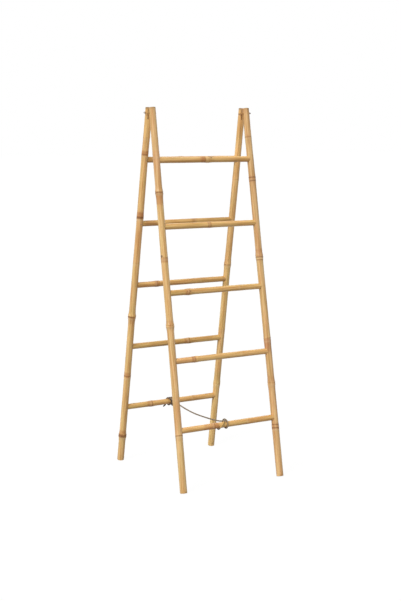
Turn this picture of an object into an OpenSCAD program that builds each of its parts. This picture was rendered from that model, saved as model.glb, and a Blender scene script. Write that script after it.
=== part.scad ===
// Double towel ladder of bamboo: two five-rung frames joined by wire at the top
// and tied together by a rope between the lowest rungs.
// Millimetres, +Z up. X runs along the rungs, -Y is the front.
// The origin is on the floor, in the middle of the four feet.

/* [Frames] */
// Length of each stile, cut end to cut end
stile_len = 1600; // [1500:5:1700]
// Distance from the front feet to the back feet, between stile axes
foot_spread = 581; // [500:1:640]
// Distance between the two stiles of a frame at the feet, between axes
foot_width = 480.5; // [440:0.5:540]
// Distance between the two stiles of a frame at the top, between axes
top_width = 459; // [430:0.5:500]
// Gap between the front and back stile tops in the open ladder
top_gap = 0.6; // [0.4:0.1:3]
// Depth that each foot is worn flat by the floor
foot_wear = 0.5; // [0.3:0.1:1]

/* [Stiles] */
// Diameter of a stile at the foot
stile_foot_d = 30.75; // [28:0.25:34]
// Diameter of a stile at the top
stile_top_d = 28.75; // [26.5:0.25:32]
// Wall of a stile between its nodes
stile_wall = 4.5; // [3:0.25:4.75]

/* [Rungs] */
// Diameter of a rung
rung_d = 25.25; // [22:0.25:27]
// Wall of a rung between its nodes
rung_wall = 6; // [4.5:0.25:7]
// Height of the lowest rung above the foot, along the frame
first_rung_at = 256; // [200:1:300]
// Steps from each rung up to the next one, along the frame
rung_steps = [288, 283, 276, 277]; // [240:1:290]
// Diameter of the tenon on each rung end
tenon_d = 16.5; // [14:0.25:17]
// Distance that a tenon runs past the axis of its stile
tenon_past = 3; // [2:0.25:3.5]
// Gap round a tenon in its mortise
mortise_gap = 0.2; // [0.05:0.05:0.4]
// Gap between a coped rung end and its stile
cope_gap = 0.3; // [0.1:0.05:0.6]

/* [Bamboo] */
// Thickness of the wall that closes a culm inside each node
septum = 4; // [2:0.5:6]
// Edge taken off at each cut end of a stile
end_chamfer = 0.8; // [0.3:0.1:1.5]
// Radius of the bud scar on a node
bud_r = 3; // [2:0.25:4]

/* [Nails] */
// Diameter of a nail
nail_d = 1.6; // [1.2:0.1:2.2]
// Length of a nail under its head
nail_len = 21; // [18:0.5:22]
// Diameter of a nail head
nail_head_d = 2.6; // [2.4:0.1:3.5]
// Thickness of a nail head
nail_head_t = 0.6; // [0.5:0.1:1.2]
// Gap round a nail in its hole
nail_gap = 0.05; // [0.02:0.01:0.1]

/* [Hinge wires] */
// Distance from the stile tops down to the wire holes, along the stile
hinge_drop = 24; // [18:1:40]
// Diameter of the wire
wire_d = 2.4; // [1.8:0.1:2.8]
// Gap round the wire in the holes that it runs through
wire_play = 0.8; // [0.7:0.05:1.2]
// Gap between a stile and the wire that crosses outside the ladder
wire_outer_gap = 1.25; // [0.75:0.25:8]
// Gap between a stile and the wire that crosses inside the ladder
wire_inner_gap = 1.2; // [0.8:0.1:4]
// Radius of the bends in the wire, at its middle
wire_bend = 3; // [2:0.25:4]
// Length of the twisted tail of the wire
wire_tail = 25; // [15:1:32]
// Straight of wire between the front bend and the tail
wire_tail_run = 1; // [0.5:0.25:3]
// Turns in the twisted tail
wire_twists = 2; // [1:0.25:2.5]
// Gap between the two strands of the twisted tail
strand_gap = 0.6; // [0.5:0.05:1]

/* [Rope] */
// Diameter of the rope
rope_d = 6; // [4:0.25:6.5]
// Gap between the rope and the rung that it is wound on
rope_gap = 0.35; // [0.2:0.05:0.6]
// Length of the loose end of the front hitch
front_tail = 9; // [8:1:16]
// Length of the loose end of the back hitch
back_tail = 22; // [12:1:30]

/* [Hidden] */

LEFT = -1;
RIGHT = 1;
$fn = 48;
bamboo = [0.86, 0.68, 0.40];
bamboo_warm = [0.82, 0.62, 0.36];
steel = [0.55, 0.55, 0.56];
bronze = [0.36, 0.26, 0.15];
jute = [0.58, 0.47, 0.34];

// Nodes of each culm: [distance from the foot or from the middle of the rung, rise,
// angle of the bud scar round the culm, or -1 for none]
front_left_nodes = [[238, 0.8, 40], [392, 0.4, -1], [692, 3.2, 60], [974, 0.8, -1],
    [1245, 2.8, 100], [1396, 0.6, -1]];
front_right_nodes = [[210, 0.9, 110], [403, 2.2, -1], [593, 1.0, 30], [956, 2.2, -1],
    [1293, 0.9, 60], [1475, 0.6, -1]];
back_left_nodes = [[117, 3.2, 300], [404, 0.8, -1], [684, 3.4, 20], [930, 0.4, -1],
    [1130, 1.0, 250], [1402, 0.6, -1], [1476, 0.4, 330]];
back_right_nodes = [[315, 2.0, 330], [586, 0.5, -1], [894, 2.0, 300], [1288, 0.5, -1]];
front_rung_nodes = [[[-70, 0.7, -1], [99, 0.4, 60]], [[-131, 1.4, 100], [99, 0.4, -1]],
    [[-134, 2.0, 255], [118, 0.5, -1]], [[-3, 1.0, -1]], [[15, 1.6, 205]]];
back_rung_nodes = [[[-103, 1.6, 250], [112, 0.5, -1]], [[63, 1.5, 280]],
    [[-127, 1.5, 260], [103, 0.4, -1]], [[47, 0.7, 300]], [[-58, 1.2, -1], [142, 0.6, 280]]];
// Outline of a node: [distance along the culm, share of the rise]
node_outline = [[-30, 0], [-14, 0.36], [-3.4, 0.9], [-1.4, 1], [0.2, 0.6], [2, 0.64],
    [4.6, 0.9], [11, 0.52], [27, 0]];
// Share of the bud's radius that stands out of the node
bud_proud = 0.35;

// Heights of the rungs above the foot, along the frame, from the lowest one up
function rung_height(i) = i == 0 ? first_rung_at : rung_height(i - 1) + rung_steps[i - 1];
rung_at = [for (i = [0 : len(rung_steps)]) rung_height(i)];

// Angle that each stile runs in by, towards the top of its frame
flare = asin((foot_width - top_width) / 2 / stile_len);
frame_top = stile_len * cos(flare);
// Lean of each frame at which the stile tops come within top_gap of each other
lean = asin((foot_spread - top_gap) / norm([2 * frame_top, stile_top_d]))
    - atan2(stile_top_d, 2 * frame_top);
foot_z = stile_foot_d / 2 * sin(lean) - foot_wear;
hinge_at = frame_top - hinge_drop;
hinge_y = foot_spread / 2 - hinge_at * sin(lean);
hinge_z = foot_z + hinge_at * cos(lean);

function stile_x(h) = foot_width / 2 - h * tan(flare);
function stile_r(h) = (stile_foot_d + (stile_top_d - stile_foot_d) * h / stile_len) / 2;
function ease(u) = u * u * (3 - 2 * u);

// Carries a frame, drawn upright in the XZ plane, to its place in the open ladder
module place_front() {
    translate([0, -foot_spread / 2, foot_z]) rotate([-lean, 0, 0]) children();
}

module place_back() {
    mirror([0, 1, 0]) place_front() children();
}

// Outer outline of a culm along +Z: straight taper with a swelling at each node
function culm_outline(len, d0, d1, nodes, grow = 0, chamfer = 0) = let(
    r = function(z) (d0 + (d1 - d0) * z / len) / 2 + grow)
    concat([[0, 0], [r(0) - chamfer, 0]],
        chamfer > 0 ? [[r(chamfer), chamfer]] : [],
        [for (n = nodes) for (p = node_outline)
            [r(n[0] + p[0]) + n[1] * p[1], n[0] + p[0]]],
        chamfer > 0 ? [[r(len - chamfer), len - chamfer]] : [],
        [[r(len) - chamfer, len], [0, len]]);

module culm_skin(len, d0, d1, nodes, grow = 0, chamfer = 0) {
    rotate_extrude() polygon(culm_outline(len, d0, d1, nodes, grow, chamfer));
}

// The hollows of a culm, one for each stretch between its closed nodes and cut ends
module culm_hollows(len, d0, d1, wall, nodes) {
    taper = 4;
    overrun = 10;
    stops = concat([-overrun], [for (n = nodes) n[0]], [len + overrun]);
    for (i = [0 : len(stops) - 2]) {
        z0 = stops[i] + (i == 0 ? 0 : septum / 2);
        z1 = stops[i + 1] - (i == len(stops) - 2 ? 0 : septum / 2);
        r0 = (d0 + (d1 - d0) * z0 / len) / 2 - wall;
        r1 = (d0 + (d1 - d0) * z1 / len) / 2 - wall;
        rotate_extrude()
            polygon([[0, z0], [r0 - taper, z0], [r0, z0 + taper],
                [r1, z1 - taper], [r1 - taper, z1], [0, z1]]);
    }
}

// Bud scars: a small round boss on the side of each node that has one
module culm_buds(len, d0, d1, nodes) {
    for (n = nodes)
        if (n[2] >= 0) {
            r = (d0 + (d1 - d0) * n[0] / len) / 2 + n[1];
            rotate([0, 0, n[2]])
                translate([r - bud_r * (1 - bud_proud), 0, n[0] + bud_r])
                    sphere(r = bud_r, $fn = 32);
        }
}

// Solid blank of a stile in its frame, grown by a gap where it copes a rung end
module stile_blank(side, nodes, grow = 0) {
    translate([side * foot_width / 2, 0, 0])
        rotate([0, -side * flare, 0])
            culm_skin(stile_len, stile_foot_d, stile_top_d, nodes, grow,
                grow > 0 ? 0 : end_chamfer);
}

// The nail that holds one rung end, driven from the inner face of the frame at +Y.
// With a gap round it, it is the hole for the nail, which runs out past the skin.
module nail(h, gap = 0) {
    seat = stile_r(h) - nail_head_t;
    past_skin = gap > 0 ? 4 : 0;
    rotate([-90, 0, 0]) {
        translate([0, 0, seat - nail_len - gap])
            cylinder(d = nail_d + 2 * gap, h = nail_len + nail_head_t);
        translate([0, 0, seat - gap])
            cylinder(d = nail_head_d + 2 * gap, h = nail_head_t + gap + past_skin);
    }
}

module stile(side, nodes) {
    difference() {
        union() {
            stile_blank(side, nodes);
            translate([side * foot_width / 2, 0, 0])
                rotate([0, -side * flare, 0])
                    culm_buds(stile_len, stile_foot_d, stile_top_d, nodes);
        }
        translate([side * foot_width / 2, 0, 0])
            rotate([0, -side * flare, 0])
                culm_hollows(stile_len, stile_foot_d, stile_top_d, stile_wall, nodes);
        for (h = rung_at)
            translate([side * stile_x(h), 0, h]) {
                rotate([0, -90 * side, 0])
                    translate([0, 0, -tenon_past - mortise_gap])
                        cylinder(d = tenon_d + 2 * mortise_gap, h = 2 * stile_r(h));
                nail(h, nail_gap);
            }
        translate([side * stile_x(hinge_at), 0, hinge_at])
            rotate([0, 90, 0])
                cylinder(d = wire_d + 2 * wire_play, h = 3 * stile_r(hinge_at), center = true);
    }
}

// Takes off what would lie below the floor
module worn_flat() {
    slab = 40;
    difference() {
        children();
        translate([0, 0, -slab / 2])
            cube([2 * foot_width, 2 * foot_spread, slab], center = true);
    }
}

module rung(i, nodes, left_nodes, right_nodes) {
    h = rung_at[i];
    half = stile_x(h);
    centred = [for (n = nodes) [n[0] + half, n[1], n[2]]];
    translate([0, 0, h])
        difference() {
            union() {
                difference() {
                    rotate([0, 90, 0])
                        translate([0, 0, -half]) {
                            culm_skin(2 * half, rung_d, rung_d, centred);
                            culm_buds(2 * half, rung_d, rung_d, centred);
                        }
                    translate([0, 0, -h]) {
                        stile_blank(LEFT, left_nodes, cope_gap);
                        stile_blank(RIGHT, right_nodes, cope_gap);
                    }
                }
                rotate([0, 90, 0])
                    cylinder(d = tenon_d, h = 2 * (half + tenon_past), center = true);
            }
            rotate([0, 90, 0])
                translate([0, 0, -half])
                    culm_hollows(2 * half, rung_d, rung_d, rung_wall, centred);
            for (side = [LEFT, RIGHT])
                translate([side * half, 0, 0]) nail(h, nail_gap);
        }
}

// The ten nails of one frame
module rung_nails() {
    for (h = rung_at, side = [LEFT, RIGHT])
        translate([side * stile_x(h), 0, h]) nail(h);
}

// Radius that the strands of the tail wind at
strand_r = (wire_d + strand_gap) / 2;
tail_y = 2 * wire_bend + strand_r + wire_tail_run - hinge_y;
bend_steps = 4;

// Quarter bend at the corner p of a wire that comes in along one direction and leaves
// along another
function bend(p, into, out) = [for (i = [0 : bend_steps]) let(a = 90 * i / bend_steps)
    p + wire_bend * ((sin(a) - 1) * into + (1 - cos(a)) * out)];

// One of the two strands that wind round each other below the wire, at x = low
function strand(low, turn) = let(n = ceil(8 * wire_twists))
    [for (i = [1 : n]) let(a = 360 * wire_twists * i / n)
        [low + turn * strand_r * sin(a), tail_y + turn * strand_r * cos(a),
            -wire_bend - (wire_tail - wire_bend) * i / n]];
function reversed(list) = [for (i = [len(list) - 1 : -1 : 0]) list[i]];

// Centre line of a wire: up one strand, through the holes of the front stile, across to
// the back stile, through its holes and down the other strand
function wire_path(low, high) = concat(
    reversed(strand(low, -1)),
    bend([low, tail_y - strand_r, 0], [0, 0, 1], [0, -1, 0]),
    bend([low, -hinge_y, 0], [0, -1, 0], [1, 0, 0]),
    bend([high, -hinge_y, 0], [1, 0, 0], [0, 1, 0]),
    bend([high, hinge_y, 0], [0, 1, 0], [-1, 0, 0]),
    bend([low, hinge_y, 0], [-1, 0, 0], [0, -1, 0]),
    bend([low, tail_y + strand_r, 0], [0, -1, 0], [0, 0, -1]),
    strand(low, 1));

// Wire that ties a front and a back stile, with its twisted tail on the left side
module hinge_wire(side) {
    r = stile_r(hinge_at);
    outer = r + wire_outer_gap + wire_d / 2;
    inner = r + wire_inner_gap + wire_d / 2;
    path = wire_path(side == LEFT ? -outer : -inner, side == LEFT ? inner : outer);
    last = len(path) - 1;
    echo(str(side == LEFT ? "left" : "right", " hinge wire least gap to itself"),
        least_gap(path, 16, wire_d));
    translate([side * stile_x(hinge_at), 0, hinge_z])
        tube(path, wire_d / 2, 8, [1, 0, 0], unit(path[1] - path[0]),
            unit(path[last] - path[last - 1]));
}

// Points of a ring round p, square to the direction t, the first one towards up
function unit(v) = v / norm(v);
function square_to(t, up) = unit(up - (up * t) * t);
function ring(p, t, up, r, sides) = let(b = cross(t, up))
    [for (k = [0 : sides - 1]) p + r * (cos(360 * k / sides) * up + sin(360 * k / sides) * b)];

// Tube along a path. Its rings start towards up and turn no further than the path does,
// and its two end faces are square to first_dir and last_dir.
module tube(path, r, sides, up, first_dir, last_dir) {
    last = len(path) - 1;
    dirs = [for (i = [0 : last])
        i == 0 ? first_dir : i == last ? last_dir : unit(path[i + 1] - path[i - 1])];
    ups = [for (i = 0, u = square_to(dirs[0], up); i <= last;
        i = i + 1, u = i <= last ? square_to(dirs[i], u) : u) u];
    points = [for (i = [0 : last]) each ring(path[i], dirs[i], ups[i], r, sides)];
    walls = [for (i = [0 : last - 1], k = [0 : sides - 1]) let(
        a = i * sides + k,
        b = i * sides + (k + 1) % sides)
        each [[a, a + sides, b], [b, a + sides, b + sides]]];
    ends = [for (k = [1 : sides - 2])
        each [[0, k, k + 1], [last * sides, last * sides + k + 1, last * sides + k]]];
    polyhedron(points, concat(walls, ends));
}

// Route of the rope from the front hitch to the back hitch, chosen by hand
rope_route = [[-20, -236, 267.7], [-19.4, -215, 263], [-18.6, -190, 259.2], [-17.3, -145, 254.6],
    [-15.9, -100, 251.4], [-14.6, -55, 248.8], [-13.3, -10, 246.9], [-11.9, 35, 246.7],
    [-10.6, 78, 248.5], [-9.5, 118, 251.4], [-8.4, 155, 255], [-7.4, 188, 259],
    [-6.6, 214, 263], [-6, 234, 267.6]];
rope_end = rope_route[len(rope_route) - 1];
// Angles below level at which the rope leaves the front and the back hitch
front_leave = 14;
back_leave = 14;
rope_r = rope_d / 2;

// Smooth curve through the points of a route, with n steps from each one to the next
function smooth(route, n) = let(
    last = len(route) - 1,
    at = function(i) route[max(0, min(last, i))])
    concat([for (i = [0 : last - 1], k = [0 : n - 1]) let(
        u = k / n,
        d0 = (at(i + 1) - at(i - 1)) / 2,
        d1 = (at(i + 2) - at(i)) / 2)
        at(i) * (1 - ease(u)) + at(i + 1) * ease(u)
            + d0 * u * (1 - u) * (1 - u) - d1 * u * u * (1 - u)], [route[last]]);

module tether_rope() {
    color(jute)
        tube(smooth(rope_route, 3), rope_r, 8, [1, 0, 0],
            [0, cos(front_leave), -sin(front_leave)],
            [0, cos(back_leave), sin(back_leave)]);
}

// A hitch is wound round a rung that runs along X, and +Y is the side that the rope
// leaves it on. It goes over the top, down the far side and up the near side.
// Its places along the rung, one for each half turn, are counted from the rope.
front_places = [0, -28, 10, 10, 7, 8];
back_places = [0, -9, 8, 9, -9, -18];
// Share of each half turn after which the rope has reached its next place
reached = 0.8;
front_turns = 2.06;
back_turns = 2.38;
hitch_rings = 24;
wound_r = rung_d / 2 + rope_gap + rope_r;
// Turns between which the rope climbs onto the turns below it, and between which it
// sinks again, and the share of the climb that is left after that
front_climb = [1.55, 1.75, 1.9, 2.05, 0.88];
back_climb = [1.44, 1.64, 1.78, 1.95, 0];
climb = rope_d + 0.8;
// Radius and angle of the bend with which a loose end turns along the rung
tail_bend = 8;
tail_turn = 60;

function eased(v, from, to) = ease(max(0, min(1, (v - from) / (to - from))));
function hitch_x(places, t) = let(i = max(0, min(floor(2 * t), len(places) - 2)))
    places[i] + (places[i + 1] - places[i]) * eased(2 * t - i, 0, reached);
function hitch_lift(c, t) =
    climb * eased(t, c[0], c[1]) * (1 - (1 - c[4]) * eased(t, c[2], c[3]));
function hitch_point(places, climbs, t) = let(r = wound_r + hitch_lift(climbs, t))
    [hitch_x(places, t), -r * sin(360 * t), r * cos(360 * t)];

// Loose end from the tip of the turns on, straight or with a bend towards side
function loose_end(tip, dir, side, tail) = let(
    turned = function(a) tail_bend * (sin(a) * dir + (1 - cos(a)) * side),
    rest = tail - tail_bend * tail_turn * PI / 180)
    norm(side) == 0 ? [tip + dir * tail / 2, tip + dir * tail]
        : concat([for (k = [1 : 4]) tip + turned(tail_turn * k / 4)],
            [tip + turned(tail_turn) + rest * (cos(tail_turn) * dir + sin(tail_turn) * side)]);

// Path of a hitch: the end that meets the rope, the turns, and the loose end
function hitch_path(meet, places, climbs, leave, turns, tail, side) = let(
    t0 = -leave / 360,
    n = round((turns - t0) * hitch_rings),
    tip = hitch_point(places, climbs, turns),
    dir = unit(tip - hitch_point(places, climbs, turns - 0.5 / hitch_rings)))
    concat([meet], [for (i = [0 : n]) hitch_point(places, climbs, t0 + (turns - t0) * i / n)],
        loose_end(tip, dir, side, tail));

// Least clear distance between stretches of a path that lie more than skip rings apart
function least_gap(path, skip, d) = min([for (i = [0 : len(path) - 1 - skip])
    for (j = [i + skip : len(path) - 1]) norm(path[i] - path[j]) - d]);

module hitch(name, meet, places, climbs, leave, turns, tail, side) {
    path = hitch_path(meet, places, climbs, leave, turns, tail, side);
    last = len(path) - 1;
    echo(str(name, " least gap to itself"), least_gap(path, hitch_rings / 3, rope_d));
    tube(path, rope_r, 6, [0, 0, 1], [0, -cos(leave), sin(leave)],
        unit(path[last] - path[last - 1]));
}

low_rung_y = foot_spread / 2 - rung_at[0] * sin(lean);
low_rung_z = foot_z + rung_at[0] * cos(lean);

module front_hitch() {
    at = [rope_route[0][0], -low_rung_y, low_rung_z];
    color(jute)
        translate(at)
            hitch("front_hitch", rope_route[0] - at, front_places, front_climb, front_leave,
                front_turns, front_tail, [0, 0, 0]);
}

module back_hitch() {
    at = [rope_end[0], low_rung_y, low_rung_z];
    meet = rope_end - at;
    color(jute)
        translate(at)
            mirror([0, 1, 0])
                hitch("back_hitch", [meet[0], -meet[1], meet[2]], back_places, back_climb,
                    back_leave, back_turns, back_tail, [-1, 0, 0]);
}

module front_left_stile() {
    color(bamboo) worn_flat() place_front() stile(LEFT, front_left_nodes);
}

module front_right_stile() {
    color(bamboo) worn_flat() place_front() stile(RIGHT, front_right_nodes);
}

module back_left_stile() {
    color(bamboo) worn_flat() place_back() stile(LEFT, back_left_nodes);
}

module back_right_stile() {
    color(bamboo) worn_flat() place_back() stile(RIGHT, back_right_nodes);
}

// Rungs are numbered from the lowest one up, counting from 0
module front_rung(i) {
    color(bamboo_warm)
        place_front() rung(i, front_rung_nodes[i], front_left_nodes, front_right_nodes);
}

module back_rung(i) {
    color(bamboo_warm)
        place_back() rung(i, back_rung_nodes[i], back_left_nodes, back_right_nodes);
}

module front_rung_nails() {
    color(steel) place_front() rung_nails();
}

module back_rung_nails() {
    color(steel) place_back() rung_nails();
}

module left_hinge_wire() {
    color(bronze) hinge_wire(LEFT);
}

module right_hinge_wire() {
    color(bronze) hinge_wire(RIGHT);
}

front_left_stile();
front_right_stile();
back_left_stile();
back_right_stile();
front_rung(0);  // front_rung_1
front_rung(1);  // front_rung_2
front_rung(2);  // front_rung_3
front_rung(3);  // front_rung_4
front_rung(4);  // front_rung_5
back_rung(0);  // back_rung_1
back_rung(1);  // back_rung_2
back_rung(2);  // back_rung_3
back_rung(3);  // back_rung_4
back_rung(4);  // back_rung_5
front_rung_nails();
back_rung_nails();
left_hinge_wire();
right_hinge_wire();
tether_rope();
front_hitch();
back_hitch();
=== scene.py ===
"""Dresses a double towel ladder: bamboo culms, hinge wires, nails and a jute rope.

Sizes are millimetres and angles are degrees, as in the part's source. Meshes are metres.
"""

import logging
import math
from collections.abc import Mapping, Sequence
from dataclasses import dataclass, field, replace
from enum import Enum
from typing import Any

import bpy
import numpy as np
from mathutils import Matrix, Vector
from numpy.typing import NDArray


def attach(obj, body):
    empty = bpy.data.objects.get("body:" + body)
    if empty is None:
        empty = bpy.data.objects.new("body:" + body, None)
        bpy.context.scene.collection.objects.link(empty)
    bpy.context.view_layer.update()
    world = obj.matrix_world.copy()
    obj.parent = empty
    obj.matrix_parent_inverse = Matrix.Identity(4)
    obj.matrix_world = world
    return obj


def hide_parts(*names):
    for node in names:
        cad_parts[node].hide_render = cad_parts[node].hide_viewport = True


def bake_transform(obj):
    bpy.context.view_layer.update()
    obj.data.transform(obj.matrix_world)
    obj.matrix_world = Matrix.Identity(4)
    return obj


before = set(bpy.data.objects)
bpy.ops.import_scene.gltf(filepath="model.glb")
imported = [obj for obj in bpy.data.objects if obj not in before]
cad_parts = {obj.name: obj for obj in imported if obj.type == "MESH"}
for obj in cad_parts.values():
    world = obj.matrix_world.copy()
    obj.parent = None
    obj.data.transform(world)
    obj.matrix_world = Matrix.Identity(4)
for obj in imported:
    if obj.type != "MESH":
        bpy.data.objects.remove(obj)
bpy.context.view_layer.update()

MM = 0.001
Floats = NDArray[np.float64]
Colour = tuple[float, float, float, float]
Spot = tuple[float, float, float, float, float]
Stretch = tuple[float, float, float]
Tone = tuple[float, float]
Wash = tuple[float, float, float, float]
WHITE: Colour = (1.0, 1.0, 1.0, 1.0)
log = logging.getLogger("towel_ladder")


# ---- Numbers and curves


def smooth(low: float, high: float, x: Floats) -> Floats:
    """Smooth step: 0 below low, 1 above high, u * u * (3 - 2 * u) between them."""
    u = np.clip((x - low) / (high - low), 0.0, 1.0)
    return u * u * (3 - 2 * u)


def bell(x: Floats, width: float) -> Floats:
    """Bell curve exp(-(x / width)^2)."""
    return np.exp(-((x / width) ** 2))


def turn_between(angle: Floats, other: float) -> Floats:
    """Signed turn from other to angle, in degrees from -180 to 180."""
    return (angle - other + 180.0) % 360.0 - 180.0


def unit(v: Floats) -> Floats:
    """Vectors along the last axis, brought to length 1."""
    return v / np.linalg.norm(v, axis=-1, keepdims=True)


def spread(anchors: Sequence[Floats], least: float, largest: float) -> Floats:
    """Sorted places that keep the anchors and fill the gaps between them evenly.

    Args:
        anchors: groups of places. An earlier group wins where two come too close.
        least: places of a later group that come closer than this are left out.
        largest: the widest gap that is left between two places.

    Returns:
        The places in rising order.
    """
    kept = np.sort(anchors[0])
    for group in anchors[1:]:
        far = np.abs(group[:, None] - kept[None, :]).min(axis=1) > least
        kept = np.sort(np.concatenate([kept, group[far]]))
    steps = np.ceil(np.diff(kept) / largest).astype(int)
    runs = [
        np.linspace(a, b, n, endpoint=False)
        for a, b, n in zip(kept[:-1], kept[1:], steps)
        if n > 0
    ]
    return np.concatenate([*runs, kept[-1:]])


def resample(path: Floats, step: float) -> tuple[Floats, Floats]:
    """Points at even distances along a path.

    Args:
        path: the path's points.
        step: distance that is aimed at between two points.

    Returns:
        The new points and their distance along the path.
    """
    along = np.concatenate([[0.0], np.cumsum(np.linalg.norm(np.diff(path, axis=0), axis=1))])
    s = np.linspace(0.0, along[-1], max(2, int(round(along[-1] / step)) + 1))
    return np.stack([np.interp(s, along, path[:, k]) for k in range(3)], axis=1), s


def directions(path: Floats) -> Floats:
    """Unit direction of a path at each of its points, from its neighbours."""
    return unit(np.gradient(path, axis=0))


# ---- Meshes


@dataclass
class Skin:
    """Closed surface of rings, from a pole inside its first ring to one in its last.

    Attributes:
        rings: points in millimetres, as rings, columns and coordinates.
        floats: a number for each point, by attribute name.
        vectors: a vector for each point, by attribute name.
        mirrored: true if the rings were mirrored, which turns the faces round.
        holes: centre rows and column of each hole, in the outer and the inner wall.
        half: half the side of the square of cells that a hole takes.
        crease: angle between two faces from which their edge is drawn sharp.
    """

    rings: Floats
    floats: dict[str, Floats] = field(default_factory=dict)
    vectors: dict[str, Floats] = field(default_factory=dict)
    mirrored: bool = False
    holes: list[tuple[int, int, int]] = field(default_factory=list)
    half: int = 4
    crease: float = 38.0

    def _quads(self) -> NDArray[np.int64]:
        """Cells between neighbouring rings, without those that a hole takes out.

        Returns:
            The four corners of each cell.
        """
        rows, columns = self.rings.shape[:2]
        keep = np.ones((rows - 1, columns), bool)
        cells = np.arange(-self.half, self.half)
        for outer, inner, column in self.holes:
            for row in (outer, inner):
                keep[np.ix_(row + cells, (column + cells) % columns)] = False
        i, j = np.nonzero(keep)
        k = (j + 1) % columns
        return np.stack([i * columns + j, i * columns + k, (i + 1) * columns + k,
                         (i + 1) * columns + j], axis=1)

    def _loop(self, row: int, column: int, sense: int) -> NDArray[np.int64]:
        """Points on the edge of a hole, anticlockwise as seen from outside.

        Args:
            row: the hole's centre row.
            column: the hole's centre column.
            sense: 1 where rows rise along the culm, and -1 where they fall.

        Returns:
            The numbers of the points.
        """
        columns = self.rings.shape[1]
        k = np.arange(-self.half, self.half)
        edge = np.full_like(k, self.half)
        across = np.concatenate([edge, -k, -edge, k])
        up = np.concatenate([k, edge, -k, -edge])
        return (row + sense * up) * columns + (column + across) % columns

    def _tunnels(self) -> NDArray[np.int64]:
        """Walls of the holes, from the outer loop to the inner one.

        Returns:
            The four corners of each cell.
        """
        walls = [np.zeros((0, 4), np.int64)]
        for outer, inner, column in self.holes:
            a, b = self._loop(outer, column, 1), self._loop(inner, column, -1)
            walls.append(np.stack([a, np.roll(a, -1), np.roll(b, -1), b], axis=1))
        return np.concatenate(walls)

    def build(self, name: str) -> bpy.types.Object:
        """Makes the object.

        Args:
            name: the object's name.

        Returns:
            The object, at the origin, with its attributes and smooth faces.
        """
        rows, columns = self.rings.shape[:2]
        count = rows * columns
        poles = self.rings[[0, -1]].mean(axis=1)
        points = np.concatenate([self.rings.reshape(-1, 3), poles]) * MM
        quads = np.concatenate([self._quads(), self._tunnels()])
        j = np.arange(columns)
        k = (j + 1) % columns
        first = np.stack([np.full(columns, count), k, j], axis=1)
        top = (rows - 1) * columns
        last = np.stack([np.full(columns, count + 1), top + j, top + k], axis=1)
        fans = np.concatenate([first, last])
        if self.mirrored:
            quads, fans = quads[:, ::-1], fans[:, ::-1]

        corners = np.concatenate([quads.ravel(), fans.ravel()])
        used, corners = np.unique(corners, return_inverse=True)
        starts = np.concatenate([4 * np.arange(len(quads)),
                                 quads.size + 3 * np.arange(len(fans))])
        mesh = bpy.data.meshes.new(name)
        mesh.vertices.add(len(used))
        mesh.vertices.foreach_set("co", points[used].ravel())
        mesh.loops.add(len(corners))
        mesh.loops.foreach_set("vertex_index", corners.ravel())
        mesh.polygons.add(len(starts))
        mesh.polygons.foreach_set("loop_start", starts)
        mesh.polygons.foreach_set("use_smooth", np.ones(len(starts), bool))
        for key, values in self.floats.items():
            ends = values[[0, -1]].mean(axis=1)
            data = np.concatenate([values.ravel(), ends])[used]
            mesh.attributes.new(key, "FLOAT", "POINT").data.foreach_set("value", data)
        for key, values in self.vectors.items():
            ends = values[[0, -1]].mean(axis=1)
            data = np.concatenate([values.reshape(-1, 3), ends])[used].ravel()
            mesh.attributes.new(key, "FLOAT_VECTOR", "POINT").data.foreach_set("vector", data)
        mesh.update(calc_edges=True)
        mesh.set_sharp_from_angle(angle=math.radians(self.crease))
        if mesh.validate(verbose=True):
            log.warning("%s had faces that Blender mended", name)
        made = bpy.data.objects.new(name, mesh)
        bpy.context.scene.collection.objects.link(made)
        log.info("%s: %d points, %d faces", name, len(used), len(starts))
        return made


# ---- Shaders


class Value:
    """A number over a surface. Its operators add the Math nodes of an expression."""

    def __init__(self, tree: "Tree", socket: bpy.types.NodeSocket) -> None:
        """Wraps a socket of the tree."""
        self.tree = tree
        self.socket = socket

    def _math(self, operation: str, first: Any, second: Any) -> "Value":
        """Adds the Math node of one operation.

        Args:
            operation: the node's operation.
            first: a value or a number.
            second: the same.

        Returns:
            The result.
        """
        node = self.tree.node("ShaderNodeMath", {"operation": operation},
                              {0: first, 1: second})
        return Value(self.tree, node.outputs[0])

    def __add__(self, other: Any) -> "Value":
        """self + other."""
        return self._math("ADD", self, other)

    def __radd__(self, other: float) -> "Value":
        """other + self."""
        return self._math("ADD", other, self)

    def __sub__(self, other: Any) -> "Value":
        """self - other."""
        return self._math("SUBTRACT", self, other)

    def __rsub__(self, other: float) -> "Value":
        """other - self."""
        return self._math("SUBTRACT", other, self)

    def __mul__(self, other: Any) -> "Value":
        """self * other."""
        return self._math("MULTIPLY", self, other)

    def __rmul__(self, other: float) -> "Value":
        """other * self."""
        return self._math("MULTIPLY", other, self)

    def over(self, low: float, high: float) -> "Value":
        """Smooth step from 0 at low to 1 at high."""
        node = self.tree.node("ShaderNodeMapRange", {"interpolation_type": "SMOOTHSTEP"},
                              {0: self, 1: low, 2: high})
        return Value(self.tree, node.outputs[0])


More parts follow.
